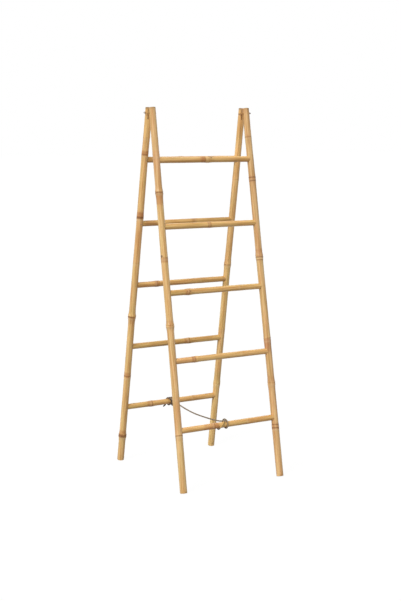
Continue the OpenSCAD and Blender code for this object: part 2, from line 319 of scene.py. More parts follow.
class Tree:
    """Node tree of a material or of the world."""

    def __init__(self, owner: bpy.types.ID) -> None:
        """Empties the owner's tree.

        Args:
            owner: the material or the world.
        """
        self.owner = owner
        self.owner.use_nodes = True
        self.nodes = self.owner.node_tree.nodes
        self.links = self.owner.node_tree.links
        self.nodes.clear()

    def node(self, kind: str, settings: Mapping[str, Any] | None = None,
             sockets: Mapping[str | int, Any] | None = None) -> bpy.types.Node:
        """Adds a node.

        Args:
            kind: the node's type.
            settings: its properties, which are set first.
            sockets: values or links of its input sockets, by name or number.

        Returns:
            The new node.
        """
        node = self.nodes.new(kind)
        for key, setting in (settings or {}).items():
            setattr(node, key, setting)
        for key, value in (sockets or {}).items():
            source = value.socket if isinstance(value, Value) else value
            if isinstance(source, bpy.types.NodeSocket):
                self.links.new(source, node.inputs[key])
            else:
                node.inputs[key].default_value = source
        return node

    def attribute(self, name: str) -> bpy.types.NodeSocket:
        """Vector of a mesh attribute."""
        return self.node("ShaderNodeAttribute", {"attribute_name": name}).outputs["Vector"]

    def number(self, name: str) -> Value:
        """Number of a mesh attribute."""
        node = self.node("ShaderNodeAttribute", {"attribute_name": name})
        return Value(self, node.outputs["Fac"])

    def split(self, vector: bpy.types.NodeSocket) -> tuple[Value, Value, Value]:
        """The three coordinates of a vector."""
        node = self.node("ShaderNodeSeparateXYZ", None, {0: vector})
        return tuple(Value(self, node.outputs[k]) for k in range(3))

    def stretched(self, vector: bpy.types.NodeSocket,
                  scale: tuple[float, float, float]) -> bpy.types.NodeSocket:
        """A vector with each coordinate multiplied."""
        node = self.node("ShaderNodeVectorMath", {"operation": "MULTIPLY"},
                         {0: vector, 1: scale})
        return node.outputs[0]

    def scaled(self, colour: bpy.types.NodeSocket,
               factors: bpy.types.NodeSocket) -> bpy.types.NodeSocket:
        """A colour with each channel multiplied."""
        node = self.node("ShaderNodeVectorMath", {"operation": "MULTIPLY"},
                         {0: colour, 1: factors})
        return node.outputs[0]

    def noise(self, vector: bpy.types.NodeSocket, scale: tuple[float, float, float],
              detail: float = 2.0, roughness: float = 0.5) -> Value:
        """Noise from about 0.25 to 0.75.

        Args:
            vector: the coordinates.
            scale: scale along each of them.
            detail: number of finer layers.
            roughness: strength of the finer layers.

        Returns:
            The noise.
        """
        node = self.node("ShaderNodeTexNoise", None,
                         {"Vector": self.stretched(vector, scale), "Scale": 1.0,
                          "Detail": detail, "Roughness": roughness})
        return Value(self, node.outputs["Fac"])

    def mix(self, factor: Any, a: Any, b: Any) -> bpy.types.NodeSocket:
        """Colour between a and b."""
        node = self.node("ShaderNodeMix", {"data_type": "RGBA"}, {0: factor, 6: a, 7: b})
        return node.outputs[2]

    def seen(self) -> Value:
        """Tells rays that show the surroundings from those that only light them.

        Returns:
            1 for a ray of the camera, a gloss or a glass, and 0 for any other.
        """
        path = self.node("ShaderNodeLightPath").outputs
        rays = ("Is Camera Ray", "Is Glossy Ray", "Is Transmission Ray")
        camera, gloss, glass = (Value(self, path[ray]) for ray in rays)
        return (camera + gloss + glass).over(0.0, 1.0)

    def finish(self, height: Value | None = None, depth: float = 0.0, strength: float = 1.0,
               **sockets: Any) -> bpy.types.Material:
        """Ends the tree in a Principled shader.

        Args:
            height: relief, for a Bump node.
            depth: height of the relief in metres.
            strength: strength of the relief.
            **sockets: the shader's sockets, with _ for a space in their names.

        Returns:
            The material.
        """
        inputs = {key.replace("_", " "): value for key, value in sockets.items()}
        if height is not None:
            bump = self.node("ShaderNodeBump", None,
                             {"Height": height, "Distance": depth, "Strength": strength})
            inputs["Normal"] = bump.outputs[0]
        shader = self.node("ShaderNodeBsdfPrincipled", None, inputs)
        self.node("ShaderNodeOutputMaterial", None, {"Surface": shader.outputs[0]})
        return self.owner


def srgb(red: float, green: float, blue: float) -> Colour:
    """Colour of a display, from 0 to 255, as the linear colour of a socket.

    Each channel c is c / 12.92 up to 0.04045, and ((c + 0.055) / 1.055)^2.4 above.

    Args:
        red: red channel.
        green: green channel.
        blue: blue channel.

    Returns:
        The linear colour, opaque.
    """
    c = np.array([red, green, blue]) / 255.0
    linear = np.where(c <= 0.04045, c / 12.92, ((c + 0.055) / 1.055) ** 2.4)
    return (*linear.tolist(), 1.0)


@dataclass(frozen=True)
class BambooFinish:
    """Scraped and lacquered bamboo.

    Attributes:
        light: colour of the pale fibres.
        deep: colour of the darker stretches.
        warm: colour of the reddish zones at nodes and patches.
        ring: colour of the scar line of a sheath.
        cut: colour of a sawn end.
        gloss: roughness of the bare skin.
        wax: colour of the pale band under a node.
        speck: colour of the small flecks.
        scar: colour of bud scars and dark spots.
        painted_shade_tint: colour of the painted shade on the far rim and in the shade spots.
        pores: colour of the dark grain in a sawn end.
        inside: colour of the hollow.
    """

    light: Colour = srgb(239, 200, 139)
    deep: Colour = srgb(208, 158, 94)
    warm: Colour = srgb(193, 129, 74)
    ring: Colour = srgb(136, 82, 38)
    cut: Colour = srgb(176, 142, 98)
    gloss: float = 0.40
    wax: Colour = srgb(240, 214, 170)
    speck: Colour = srgb(132, 88, 54)
    scar: Colour = srgb(88, 54, 30)
    painted_shade_tint: Colour = srgb(116, 90, 60)
    pores: Colour = srgb(120, 88, 56)
    inside: Colour = srgb(186, 146, 98)

    def material(self, name: str) -> bpy.types.Material:
        """Bamboo with fibres along the culm, stained nodes, bud scars and sawn ends.

        Args:
            name: the material's name.

        Returns:
            The material. It reads the attributes culm, marks and ends.
        """
        t = Tree(bpy.data.materials.new(name))
        place = t.attribute("culm")
        ring, warm, bud = t.split(t.attribute("marks"))
        shade, hue, painted_shade = t.split(t.attribute("tone"))
        cut, hollow, pale = t.split(t.attribute("ends"))
        fibre = t.noise(place, (850.0, 850.0, 11.0), 3.0, 0.6)
        streak = t.noise(place, (190.0, 190.0, 7.0), 2.0, 0.55)
        blush = t.noise(t.stretched(place, (1.0, -1.0, 1.0)), (120.0, 120.0, 9.0), 2.0)
        thread = t.noise(place, (2600.0, 2600.0, 60.0), 1.0)
        cloud = t.noise(place, (26.0, 26.0, 5.0), 3.0, 0.6)
        fleck = t.noise(place, (520.0, 520.0, 150.0), 2.0)
        rough_edge = t.noise(place, (120.0, 120.0, 40.0), 2.0)

        tone = (cloud * 0.8 + streak * 2.1 + fibre * 0.5 - 1.25).over(0.05, 0.85)
        colour = t.mix(tone, self.light, self.deep)
        level = shade * 0.16 + 1.0
        rose = hue + (blush - 0.5) * 4.6
        tint = t.node("ShaderNodeCombineXYZ", None, {0: level + rose * 0.045,
                                                     1: level - rose * 0.02,
                                                     2: level + rose * 0.03})
        colour = t.scaled(colour, tint.outputs[0])
        stain = (warm + (rough_edge - 0.5) * 0.9 * warm + (cloud - 0.62) * 0.8).over(0.08, 0.95)
        colour = t.mix(stain * 0.85, colour, self.warm)
        colour = t.mix(fibre.over(0.52, 0.72) * 0.22, colour, self.warm)
        colour = t.mix(pale * 0.35, colour, self.wax)
        colour = t.mix(fleck.over(0.66, 0.76) * 0.45, colour, self.speck)
        line = (ring + (rough_edge - 0.5) * 0.8 * ring).over(0.12, 0.8)
        colour = t.mix(line * 0.85, colour, self.ring)
        colour = t.mix(bud.over(0.15, 0.9) * 0.88, colour, self.scar)
        # painted shade: darkens the far rim and the shade spots towards a grey-brown
        colour = t.mix(painted_shade * 0.75, colour, self.painted_shade_tint)
        grain = t.noise(place, (1500.0, 1500.0, 1500.0), 1.0).over(0.42, 0.62)
        sawn = t.mix(grain * 0.55, self.cut, self.pores)
        colour = t.mix(cut, colour, sawn)
        colour = t.mix(hollow, colour, self.inside)

        rough = (tone * 0.1 + fibre * 0.12 + self.gloss - 0.08
                 + (stain + line) * 0.08 + (cut + hollow) * 0.3)
        relief = fibre * 0.6 + thread * 0.25 + rough_edge * line * 0.8 + grain * cut
        return t.finish(relief, depth=0.00035, strength=0.32, Base_Color=colour,
                        Roughness=rough)


@dataclass(frozen=True)
class RopeFinish:
    """Laid jute.

    Attributes:
        crest: colour on the strands.
        deep: colour of the painted shade in the grooves, and of the darker fibres.
        painted_highlight: colour of the painted highlight on the lit face of the front hitch.
        painted_shade_and_dark: colour of the painted shade under the front hitch, and of the
            darker back hitch.
        dusty: colour of its blotches.
    """

    crest: Colour = srgb(158, 139, 116)
    deep: Colour = srgb(84, 69, 56)
    painted_highlight: Colour = srgb(208, 170, 104)
    painted_shade_and_dark: Colour = srgb(84, 60, 46)
    dusty: Colour = srgb(136, 114, 88)

    def material(self, name: str) -> bpy.types.Material:
        """Jute yarn whose fibres follow the strands, with painted light and shade in places and a
        darker back hitch.

        Args:
            name: the material's name.

        Returns:
            The material. It reads the attributes lay, groove and painted_light_and_dark.
        """
        t = Tree(bpy.data.materials.new(name))
        lay = t.attribute("lay")
        groove = t.number("groove")
        painted_light_and_dark = t.number("painted_light_and_dark")
        fibre = t.noise(lay, (5200.0, 5200.0, 420.0), 3.0, 0.65)
        yarn = t.noise(lay, (1500.0, 1500.0, 90.0), 2.0)
        blotch = t.noise(lay, (160.0, 160.0, 60.0), 2.0)
        # painted shade in the grooves between the strands, mixed with the fibres' own darker tone
        shade = (groove * 0.75 + fibre * 0.7 + yarn * 0.5 - 0.52).over(0.0, 1.0)
        colour = t.mix(shade, self.crest, self.deep)
        colour = t.mix(blotch.over(0.45, 0.75) * 0.4, colour, self.dusty)
        # painted highlight on the lit face of the front hitch
        colour = t.mix(painted_light_and_dark.over(0.0, 1.0) * 0.92, colour, self.painted_highlight)
        # painted shade under the front hitch, and the darker back hitch
        colour = t.mix((0.0 - painted_light_and_dark).over(0.0, 1.0) * 0.78, colour, self.painted_shade_and_dark)
        return t.finish(fibre * 0.6 + yarn * 0.5, depth=0.0005, strength=0.7,
                        Base_Color=colour, Roughness=0.82 + fibre * 0.15)


@dataclass(frozen=True)
class MetalFinish:
    """Wire or steel, dulled by a thin brown film.

    Attributes:
        bare: colour of the metal.
        film: colour of the film.
        metallic: share of metal where it is bare.
        roughness: roughness where it is bare.
    """

    bare: Colour
    film: Colour
    metallic: float = 0.75
    roughness: float = 0.38

    def material(self, name: str) -> bpy.types.Material:
        """Drawn metal with blotches of film, from Object coordinates.

        Args:
            name: the material's name.

        Returns:
            The material.
        """
        t = Tree(bpy.data.materials.new(name))
        place = t.node("ShaderNodeTexCoord").outputs["Object"]
        blotch = t.noise(place, (420.0, 420.0, 420.0), 3.0, 0.6).over(0.4, 0.62)
        grain = t.noise(place, (2400.0, 2400.0, 2400.0), 2.0)
        colour = t.mix(blotch, self.bare, self.film)
        return t.finish(grain + blotch * 0.6, depth=0.00012, strength=0.4,
                        Base_Color=colour, Metallic=self.metallic - blotch * 0.45,
                        Roughness=self.roughness + blotch * 0.3 + grain * 0.1)


# ---- Layout of the two frames, as in the part's source


class Face(Enum):
    """The two frames of the ladder."""

    FRONT = "front"
    BACK = "back"


class Side(Enum):
    """Left and right, as seen from the front."""

    LEFT = -1
    RIGHT = 1


@dataclass(frozen=True)
class Layout:
    """Sizes of the two frames, and where they put their culms.

    Attributes:
        stile_len: length of a stile.
        foot_spread: distance between the feet of the two frames.
        foot_width: distance between the two stiles of a frame, at their feet.
        top_width: the same at their tops.
        top_gap: gap between the tops of a front and a back stile.
        foot_wear: what the floor has taken off the feet.
        stile_foot_d: diameter of a stile at its foot.
        stile_top_d: diameter of a stile at its top.
        rung_d: diameter of a rung.
        rung_at: heights of the rungs above the foot, along the frame.
        hinge_drop: how far the wire holes lie below the top.
    """

    stile_len: float = 1600.0
    foot_spread: float = 581.0
    foot_width: float = 480.5
    top_width: float = 459.0
    top_gap: float = 0.6
    foot_wear: float = 0.5
    stile_foot_d: float = 30.75
    stile_top_d: float = 28.75
    rung_d: float = 25.25
    rung_at: tuple[float, ...] = (256.0, 544.0, 827.0, 1103.0, 1380.0)
    hinge_drop: float = 24.0

    @property
    def flare(self) -> float:
        """Angle that each stile runs in by, in radians."""
        return math.asin((self.foot_width - self.top_width) / 2 / self.stile_len)

    @property
    def frame_top(self) -> float:
        """Height of a stile's top above its foot, along the frame."""
        return self.stile_len * math.cos(self.flare)

    @property
    def lean(self) -> float:
        """Lean of each frame, in radians, at which the tops meet but for the gap."""
        reach = math.hypot(2 * self.frame_top, self.stile_top_d)
        return (math.asin((self.foot_spread - self.top_gap) / reach)
                - math.atan2(self.stile_top_d, 2 * self.frame_top))

    @property
    def foot_z(self) -> float:
        """Height of the middle of each foot above the floor."""
        return self.stile_foot_d / 2 * math.sin(self.lean) - self.foot_wear

    @property
    def hinge_at(self) -> float:
        """Height of the wire holes above the foot, along the frame."""
        return self.frame_top - self.hinge_drop

    def axis(self, height: float) -> tuple[float, float]:
        """Distance from the middle plane, and height above the floor, of a frame's plane."""
        return (self.foot_spread / 2 - height * math.sin(self.lean),
                self.foot_z + height * math.cos(self.lean))

    def stile_x(self, height: float) -> float:
        """Distance of a stile's axis from the middle of the frame."""
        return self.foot_width / 2 - height * math.tan(self.flare)

    def stile_r(self, height: float) -> float:
        """Radius of a stile."""
        grow = (self.stile_top_d - self.stile_foot_d) * height / self.stile_len
        return (self.stile_foot_d + grow) / 2

    def frame_place(self, face: Face) -> Matrix:
        """Place of a frame that is drawn upright. The back is the front mirrored.

        Args:
            face: the frame.

        Returns:
            The matrix, in millimetres.
        """
        place = (Matrix.Translation((0, -self.foot_spread / 2, self.foot_z))
                 @ Matrix.Rotation(-self.lean, 4, "X"))
        if face is Face.BACK:
            return Matrix.Diagonal((1, -1, 1, 1)) @ place
        return place

    def stile_place(self, face: Face, side: Side) -> Matrix:
        """Place of a stile that is drawn along Z from its foot."""
        return (self.frame_place(face)
                @ Matrix.Translation((side.value * self.foot_width / 2, 0, 0))
                @ Matrix.Rotation(-side.value * self.flare, 4, "Y"))

    def rung_place(self, face: Face, height: float) -> Matrix:
        """Place of a rung that is drawn along Z from the left stile's axis."""
        return (self.frame_place(face)
                @ Matrix.Translation((-self.stile_x(height), 0, height))
                @ Matrix.Rotation(math.radians(90), 4, "Y"))


# ---- Bamboo culms


@dataclass(frozen=True)
class Joint:
    """One node of a culm, where a leaf sheath left its scar.

    Attributes:
        at: distance along the culm.
        rise: height of the swelling.
        bud: angle of the bud scar round the culm, or None.
        dark: strength of the scar line.
        warm: strength of the reddish zone.
        second: strength of a second line.
        shift: place of the scar line, from the middle of the node.
        apart: place of the second line, from the first.
        thick: half of the thickness of the lines.
        zone: start and end of the reddish zone, from the scar line.
        facing: angle round the culm at which the lines are strongest, or None.
    """

    at: float
    rise: float
    bud: float | None = None
    dark: float = 0.6
    warm: float = 0.4
    second: float = 0.0
    shift: float = 0.0
    apart: float = 9.0
    thick: float = 1.9
    zone: tuple[float, float] = (-18.0, 24.0)
    facing: float | None = None

    def wave(self, angle: Floats) -> Floats:
        """How far the scar line wanders along the culm as it goes round it.

        Two sine waves, 0.55 * sin(a + phase) + 0.3 * sin(2 * a + 2.3 * phase), and a dip
        of 1.3 * bell(turn, 28) at the bud.

        Args:
            angle: angle round the culm.

        Returns:
            The shift at each angle.
        """
        phase = self.at * 0.37
        turn = np.radians(angle)
        wander = 0.55 * np.sin(turn + phase) + 0.3 * np.sin(2 * turn + 2.3 * phase)
        if self.bud is not None:
            wander = wander - 1.3 * bell(turn_between(angle, self.bud), 28.0)
        return wander

    def strength(self, angle: Floats) -> Floats:
        """Share of the lines' strength round the culm, 0.35 + 0.65 * bell(turn, 75).

        Args:
            angle: angle round the culm.

        Returns:
            The share at each angle.
        """
        if self.facing is None:
            return np.ones_like(angle)
        return 0.35 + 0.65 * bell(turn_between(angle, self.facing), 75.0)

    def bud_distance(self, z: Floats, angle: Floats, radius: float, bud_r: float) -> Floats:
        """Distance over the skin from the middle of the bud scar."""
        across = np.radians(turn_between(angle, self.bud or 0.0)) * radius
        return np.hypot(across, (z - self.at - bud_r) * 0.85)


@dataclass
class Culm:
    """A bamboo culm that is drawn along Z and then put in its place.

    Attributes:
        name: the piece's name, which is also the CAD node that it replaces, with a suffix.
        body: the body that it rides on.
        place: its place in the ladder, in millimetres.
        length: its length.
        foot_d: its diameter at the start.
        top_d: its diameter at the end.
        joints: its nodes.
        patches: reddish stretches, as start, end and strength.
        spots: dark brown spots, as place, angle, half length, half width and strength.
        shade_spots: soft grey-brown spots of painted shade, at the seams under the tops and along
            shaded edges, in the same terms.
        tones: shade and hue of each length between nodes, from the start. Shade runs from
            -1 for dark to 1 for light, and hue from -1 for olive to 1 for rose.
        washes: stretches of another tone, as start, end, shade and hue.
        rim_shade_side: angle at which the painted shade on the far rim is darkest, or None for a
            rim without it.
        seed: number that tells its pattern from the others'.
        finish: its colours.
        kink: sideways bend at its nodes.
        outline: the swelling at a node, as distance from its ridge and share of its rise.
        bud_r: radius of a bud scar.
        bud_height: its height.
        groove: depth of the groove above a bud.
        crack: depth of the fine line on the ridge of a node.
        wander: how far its radius wanders.
    """

    name: str
    body: str
    place: Matrix
    length: float
    foot_d: float
    top_d: float
    joints: tuple[Joint, ...]
    patches: tuple[Stretch, ...] = ()
    spots: tuple[Spot, ...] = ()
    shade_spots: tuple[Spot, ...] = ()
    tones: tuple[Tone, ...] = ()
    washes: tuple[Wash, ...] = ()
    rim_shade_side: float | None = None
    seed: int = 0
    finish: BambooFinish = field(default_factory=BambooFinish)
    kink: float = 0.5

    outline: Floats = field(default_factory=lambda: np.array([
        (-30, 0), (-22, 0.11), (-17, 0.24), (-13, 0.40), (-9, 0.60), (-5.6, 0.80),
        (-3.4, 0.90), (-2.4, 0.95), (-1.8, 0.99), (-1.4, 1.0), (-0.9, 0.95), (-0.4, 0.74),
        (0.2, 0.6), (1.0, 0.58), (2.0, 0.64), (3.2, 0.80), (4.6, 0.90), (6.0, 0.88),
        (8.0, 0.72), (11.0, 0.50), (15.0, 0.29), (20.0, 0.12), (27.0, 0)]))
    bud_r: float = 3.0
    bud_height: float = 0.95
    groove: float = 0.3
    crack: float = 0.16
    wander: float = 0.12

    def radius(self, z: Floats, angle: Floats) -> Floats:
        """Outer radius: the taper, plus a swelling, a bud scar and a groove at each node.

        The swelling is rise * outline(z + wave - at). The bud scar is a boss
        height * exp(-(d / bud_r)^4) with a small pit, and the groove is
        -depth * bell(turn from the bud) * a fade upwards from the node.

        Args:
            z: distance along the culm.
            angle: angle round it.

        Returns:
            The radius at each point.
        """
        r = (self.foot_d + (self.top_d - self.foot_d) * z / self.length) / 2
        turn = np.radians(angle)
        r = r - self.wander * (0.5 + 0.5 * np.sin(z / 61.0 + self.seed))
        r = r - self.wander * (0.5 + 0.5 * np.cos(2 * turn + self.seed * 1.7))
        for joint in self.joints:
            x = z + joint.wave(angle) - joint.at
            r = r + joint.rise * np.interp(x, self.outline[:, 0], self.outline[:, 1])
            r = r - self.crack * bell(x - 0.4, 0.7)
            if joint.bud is None:
                continue
            d = joint.bud_distance(z, angle, self.foot_d / 2, self.bud_r)
            r = r + self.bud_height * np.exp(-((d / self.bud_r) ** 4)) - 0.5 * bell(d, 0.9)
            off = turn_between(angle, joint.bud)
            fade = smooth(6.0, 14.0, z - joint.at) * (1 - smooth(30.0, 150.0, z - joint.at))
            r = r - self.groove * bell(off, 17.0) * fade
        return r

    def spotted(self, z: Floats, angle: Floats, spots: tuple[Spot, ...]) -> Floats:
        """Strength of spots, each strength * exp(-(z / length)^2 - (across / width)^2).

        Args:
            z: distance along the culm.
            angle: angle round it.
            spots: the spots.

        Returns:
            The strength at each point, of the strongest spot there.
        """
        total = np.zeros_like(z)
        for place, side, length, width, strength in spots:
            across = np.radians(turn_between(angle, side)) * self.foot_d / 2
            total = np.maximum(total, strength * bell(z - place, length) * bell(across, width))
        return total

    def marks(self, z: Floats, angle: Floats) -> Floats:
        """Strength of the scar lines, the reddish zones and the bud scars.

        Args:
            z: distance along the culm.
            angle: angle round it.

        Returns:
            The three strengths at each point.
        """
        ring, warm, bud = np.zeros_like(z), np.zeros_like(z), np.zeros_like(z)
        for joint in self.joints:
            x = z + joint.wave(angle) - joint.at - joint.shift
            lines = joint.dark * bell(x - 0.3, joint.thick)
            lines = np.maximum(lines, joint.second * bell(x - joint.apart, joint.thick))
            lines = np.maximum(lines, 0.35 * joint.dark * bell(x + 1.6, 2 * joint.thick))
            ring = np.maximum(ring, lines * joint.strength(angle))
            low, high = joint.zone
            zone = smooth(low - 8.0, low + 6.0, x) * (1 - smooth(high - 8.0, high + 10.0, x))
            warm = np.maximum(warm, joint.warm * zone)
            if joint.bud is not None:
                d = joint.bud_distance(z, angle, self.foot_d / 2, self.bud_r)
                bud = np.maximum(bud, bell(d - 2.9, 1.1) * 0.75 + bell(d, 1.0))
        for start, end, strength in self.patches:
            zone = smooth(start - 18.0, start + 12.0, z) * (1 - smooth(end - 12.0, end + 18.0, z))
            warm = np.maximum(warm, strength * zone)
        bud = np.maximum(bud, self.spotted(z, angle, self.spots))
        return np.stack([ring, warm, bud], axis=-1)

    def tone(self, z: Floats, angle: Floats) -> Floats:
        """Shade and hue, which change at each node, and painted shade on the far rim and in the
        shade spots.

        Args:
            z: distance along the culm.
            angle: angle round it.

        Returns:
            Shade, hue and painted shade at each point.
        """
        values = np.array(self.tones or [(0.0, 0.0)] * (len(self.joints) + 1), float)
        tone = np.zeros((*z.shape, 3))
        tone[..., :2] = values[0]
        for joint, step in zip(self.joints, np.diff(values, axis=0)):
            x = z + joint.wave(angle) - joint.at - joint.shift
            tone[..., :2] += smooth(-2.0, 2.0, x)[..., None] * step
        for start, end, *wash in self.washes:
            inside = smooth(start - 9.0, start + 9.0, z) * (1 - smooth(end - 3.0, end + 3.0, z))
            tone[..., :2] += inside[..., None] * np.array(wash)
        # painted shade on the far rim, strongest on one side, and in the shade spots
        if self.rim_shade_side is not None:
            side = 0.35 + 0.65 * bell(turn_between(angle, self.rim_shade_side), 80.0)
            tone[..., 2] = side * smooth(self.length - 9.0, self.length - 1.0, z)
        tone[..., 2] = np.maximum(tone[..., 2], self.spotted(z, angle, self.shade_spots))
        return tone

    def pale(self, z: Floats, angle: Floats) -> Floats:
        """Strength of the pale waxy band under each node.

        Args:
            z: distance along the culm.
            angle: angle round it.

        Returns:
            The strength at each point.
        """
        band = np.zeros_like(z)
        for joint in self.joints:
            x = z + joint.wave(angle) - joint.at
            band = np.maximum(band, (0.35 + 0.5 * joint.dark) * bell(x + 8.0, 5.0))
        return band

    def bend(self, z: Floats) -> Floats:
        """Sideways shift of the axis, a broken line with a corner at each node.

        Args:
            z: distance along the culm.

        Returns:
            The shift at each point.
        """
        stops = np.array([0.0, *(j.at for j in self.joints), self.length])
        swing = np.sin(np.arange(len(stops)) * 2.4 + self.seed) * self.kink
        swing[[0, 1, -1]] = 0.0
        return np.interp(z, stops, swing)

    def angles(self, marks: Sequence[Floats]) -> Floats:
        """Columns round the culm: the marked ones, close ones at each bud, and a fill.

        Args:
            marks: groups of angles that are kept.

        Returns:
            The angles, from -30 to 330 degrees.
        """
        buds = [turn_between(j.bud + np.linspace(-15, 15, 13), 150.0) + 150.0
                for j in self.joints if j.bud is not None]
        ends = np.array([-30.0, 330.0])
        return spread([np.concatenate([*marks, ends]), *buds], 1.1, 7.6)[:-1]

    def rows(self, start: float, end: float, marks: Sequence[Floats]) -> Floats:
        """Rows along the culm: the marked ones, close ones at each node, and a fill.

        Args:
            start: the first row.
            end: the last row.
            marks: groups of places that are kept.

        Returns:
            The places of the rows.
        """
        near = np.concatenate([np.linspace(-31, -8, 11), np.linspace(-7, -3, 6),
                               np.arange(-2.6, 2.7, 0.4), np.linspace(3.2, 8.4, 9),
                               np.linspace(10, 28, 9)])
        close = [near + j.at for j in self.joints]
        inside = [g[(g > start + 0.3) & (g < end - 0.3)] for g in [*marks, *close]]
        return spread([np.array([start, end]), *inside], 0.28, 14.0)

    def skin(self, z: Floats, angle: Floats, r: Floats, ends: Floats,
             holes: list[tuple[int, int, int]] | None = None) -> Skin:
        """Puts the rings in their place and gives them the bamboo's attributes.

        Args:
            z: distance along the culm of each point.
            angle: angle round it.
            r: distance from its axis.
            ends: strength of sawn end, hollow and pale band at each point.
            holes: centre rows and column of each hole.

        Returns:
            The skin.
        """
        turn = np.radians(angle)
        local = np.stack([r * np.cos(turn) + self.bend(z), r * np.sin(turn), z], axis=-1)
        turned = np.array(self.place.to_3x3())
        points = local @ turned.T + np.array(self.place.translation)
        points[..., 2] = np.maximum(points[..., 2], 0.0)
        shift = np.array([0.31, 0.17, 0.53]) * self.seed
        return Skin(points, {}, {"culm": local * MM + shift, "marks": self.marks(z, angle),
                                 "tone": self.tone(z, angle), "ends": ends},
                    mirrored=self.place.determinant() < 0, holes=holes or [])

    def dress(self, skin: Skin, slot: str) -> bpy.types.Object:
        """Builds the piece, in place of its CAD node, with its finish.

        Args:
            skin: its skin.
            slot: not used.

        Returns:
            The piece.
        """
        made = skin.build(f"{self.name}_culm")
        made.data.materials.append(self.finish.material(f"bamboo_{self.name}"))
        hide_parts(self.name)
        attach(made, self.body)
        return made


@dataclass
class Stile(Culm):
    """A stile: hollow at both ends, with sunk nails and two holes for the hinge wire.

    Attributes:
        wall: thickness of its wall.
        septum: thickness of the closed wall inside a node.
        chamfer: chamfer of its rims.
        hole_at: distance of the wire holes from its foot.
        hole_d: diameter of the wire holes.
        nails_at: distances of the nails from its foot.
        nail_angle: angle at which the nails lie.
        nail_sink: depth of the dimple over a nail.
        nail_rim: radii between which the dimple rises to the skin.
        hole_angles: angles at which the wire holes lie.
        cell: side of a cell of the mesh at a hole.
        half: half the side of the square of cells that a hole takes.
    """

    wall: float = 4.5
    septum: float = 4.0
    chamfer: float = 0.8
    hole_at: float = 1576.0
    hole_d: float = 4.0
    nails_at: tuple[float, ...] = ()
    nail_angle: float = 90.0
    nail_sink: float = 0.75
    nail_rim: tuple[float, float] = (1.25, 1.9)
    hole_angles: tuple[float, float] = (0.0, 180.0)
    cell: float = 0.5
    half: int = 4

    def _drill(self, z: Floats, angle: Floats, row: int, column: int, sense: int,
               radius: float) -> None:
        """Bends the cells round a hole from a square to the hole's circle, in place.

        On the circle a cell at turn t lies at (away * cos(t), away * sin(t)). Further out
        it eases back to its own place in the square.

        Args:
            z: distance along the culm of each point, which is changed.
            angle: angle round it, which is changed.
            row: the hole's centre row.
            column: its centre column.
            sense: 1 where rows rise along the culm, and -1 where they fall.
            radius: radius of the wall that is drilled.
        """
        reach = 2 * self.half
        k = np.arange(-reach, reach + 1)
        across, up = np.meshgrid(k, k)
        ring = np.maximum(np.abs(across), np.abs(up))
        turn = np.arctan2(up, across)
        away = self.hole_d / 2 + (ring - self.half) * self.cell
        share = smooth(self.half, reach, ring.astype(float))
        step = np.radians(self._column_step())
        y = (1 - share) * away * np.cos(turn) + share * radius * np.sin(across * step)
        h = (1 - share) * away * np.sin(turn) + share * up * self.cell
        where = np.ix_(row + sense * k, (column + k) % z.shape[1])
        angle[where] = angle[row, column] + np.degrees(np.arcsin(np.clip(y / radius, -1, 1)))
        z[where] = self.hole_at + h

    def _column_step(self) -> float:
        """Angle between the columns that pass through a hole."""
        return math.degrees(self.cell / (self.top_d / 2))

    def build(self) -> bpy.types.Object:
        """The stile as one closed skin.

        Its rings run from the closed wall in the foot's hollow, down the hollow and round
        the rim of the foot, up the skin to the top, and down into the top's hollow.

        Returns:
            The piece.
        """
        cells = np.arange(-2 * self.half, 2 * self.half + 1)
        across = [a + cells * self._column_step() for a in self.hole_angles]
        nails = self.nail_angle + np.arange(-9.0, 9.1, 1.5)
        angle = self.angles([*across, nails])
        columns = len(angle)
        by_nail = [n + np.linspace(-2.4, 2.4, 11) for n in self.nails_at]
        top = self.length
        skin_z = self.rows(self.chamfer, top - self.chamfer,
                           [self.hole_at + cells * self.cell, *by_nail])
        low, high = self.joints[0].at - self.septum / 2, self.joints[-1].at + self.septum / 2
        r_foot, r_top = self.foot_d / 2, self.top_d / 2
        foot_in, top_in = r_foot - self.wall, r_top - self.wall

        foot_z = np.array([low, low, low, low - 2, low / 2, 12, 1.0, 0, 0, 0, 0])
        foot_r = np.array([0.3 * foot_in, 0.8 * foot_in, foot_in - 1.5, foot_in, foot_in, foot_in,
                           foot_in, foot_in + 0.5, r_foot - self.wall / 2,
                           r_foot - 1.6, r_foot - self.chamfer])
        wall_z = spread([self.hole_at + cells * self.cell,
                         np.array([high + 2, high + 30, high + 90, top - 1.0])], 0.3, 60.0)[::-1]
        top_z = np.concatenate([[top] * 4, wall_z, [high, high, high]])
        top_r = np.concatenate([[r_top - self.chamfer, r_top - 1.6, r_top - self.wall / 2,
                                 top_in + 0.5], np.full(len(wall_z), top_in),
                                [top_in - 1.5, 0.8 * top_in, 0.3 * top_in]])
        z = np.concatenate([foot_z, skin_z, top_z])[:, None] * np.ones(columns)
        around = np.ones(len(z))[:, None] * angle
        first, last = len(foot_z), len(foot_z) + len(skin_z)
        outer_row = first + int(np.argmin(np.abs(skin_z - self.hole_at)))
        inner_row = last + 4 + int(np.argmin(np.abs(wall_z - self.hole_at)))
        holes = []
        for hole in self.hole_angles:
            column = int(np.argmin(np.abs(turn_between(angle, hole))))
            self._drill(z, around, outer_row, column, 1, r_top)
            self._drill(z, around, inner_row, column, -1, top_in)
            holes.append((outer_row, inner_row, column))
        r = np.concatenate([foot_r, np.zeros(len(skin_z)), top_r])[:, None] * np.ones(columns)
        skin = slice(first, last)
        r[skin] = self.radius(z[skin], around[skin])
        for nail in self.nails_at:
            y = np.radians(turn_between(around[skin], self.nail_angle)) * r_foot
            away = np.hypot(y, z[skin] - nail)
            r[skin] -= self.nail_sink * (1 - smooth(*self.nail_rim, away))

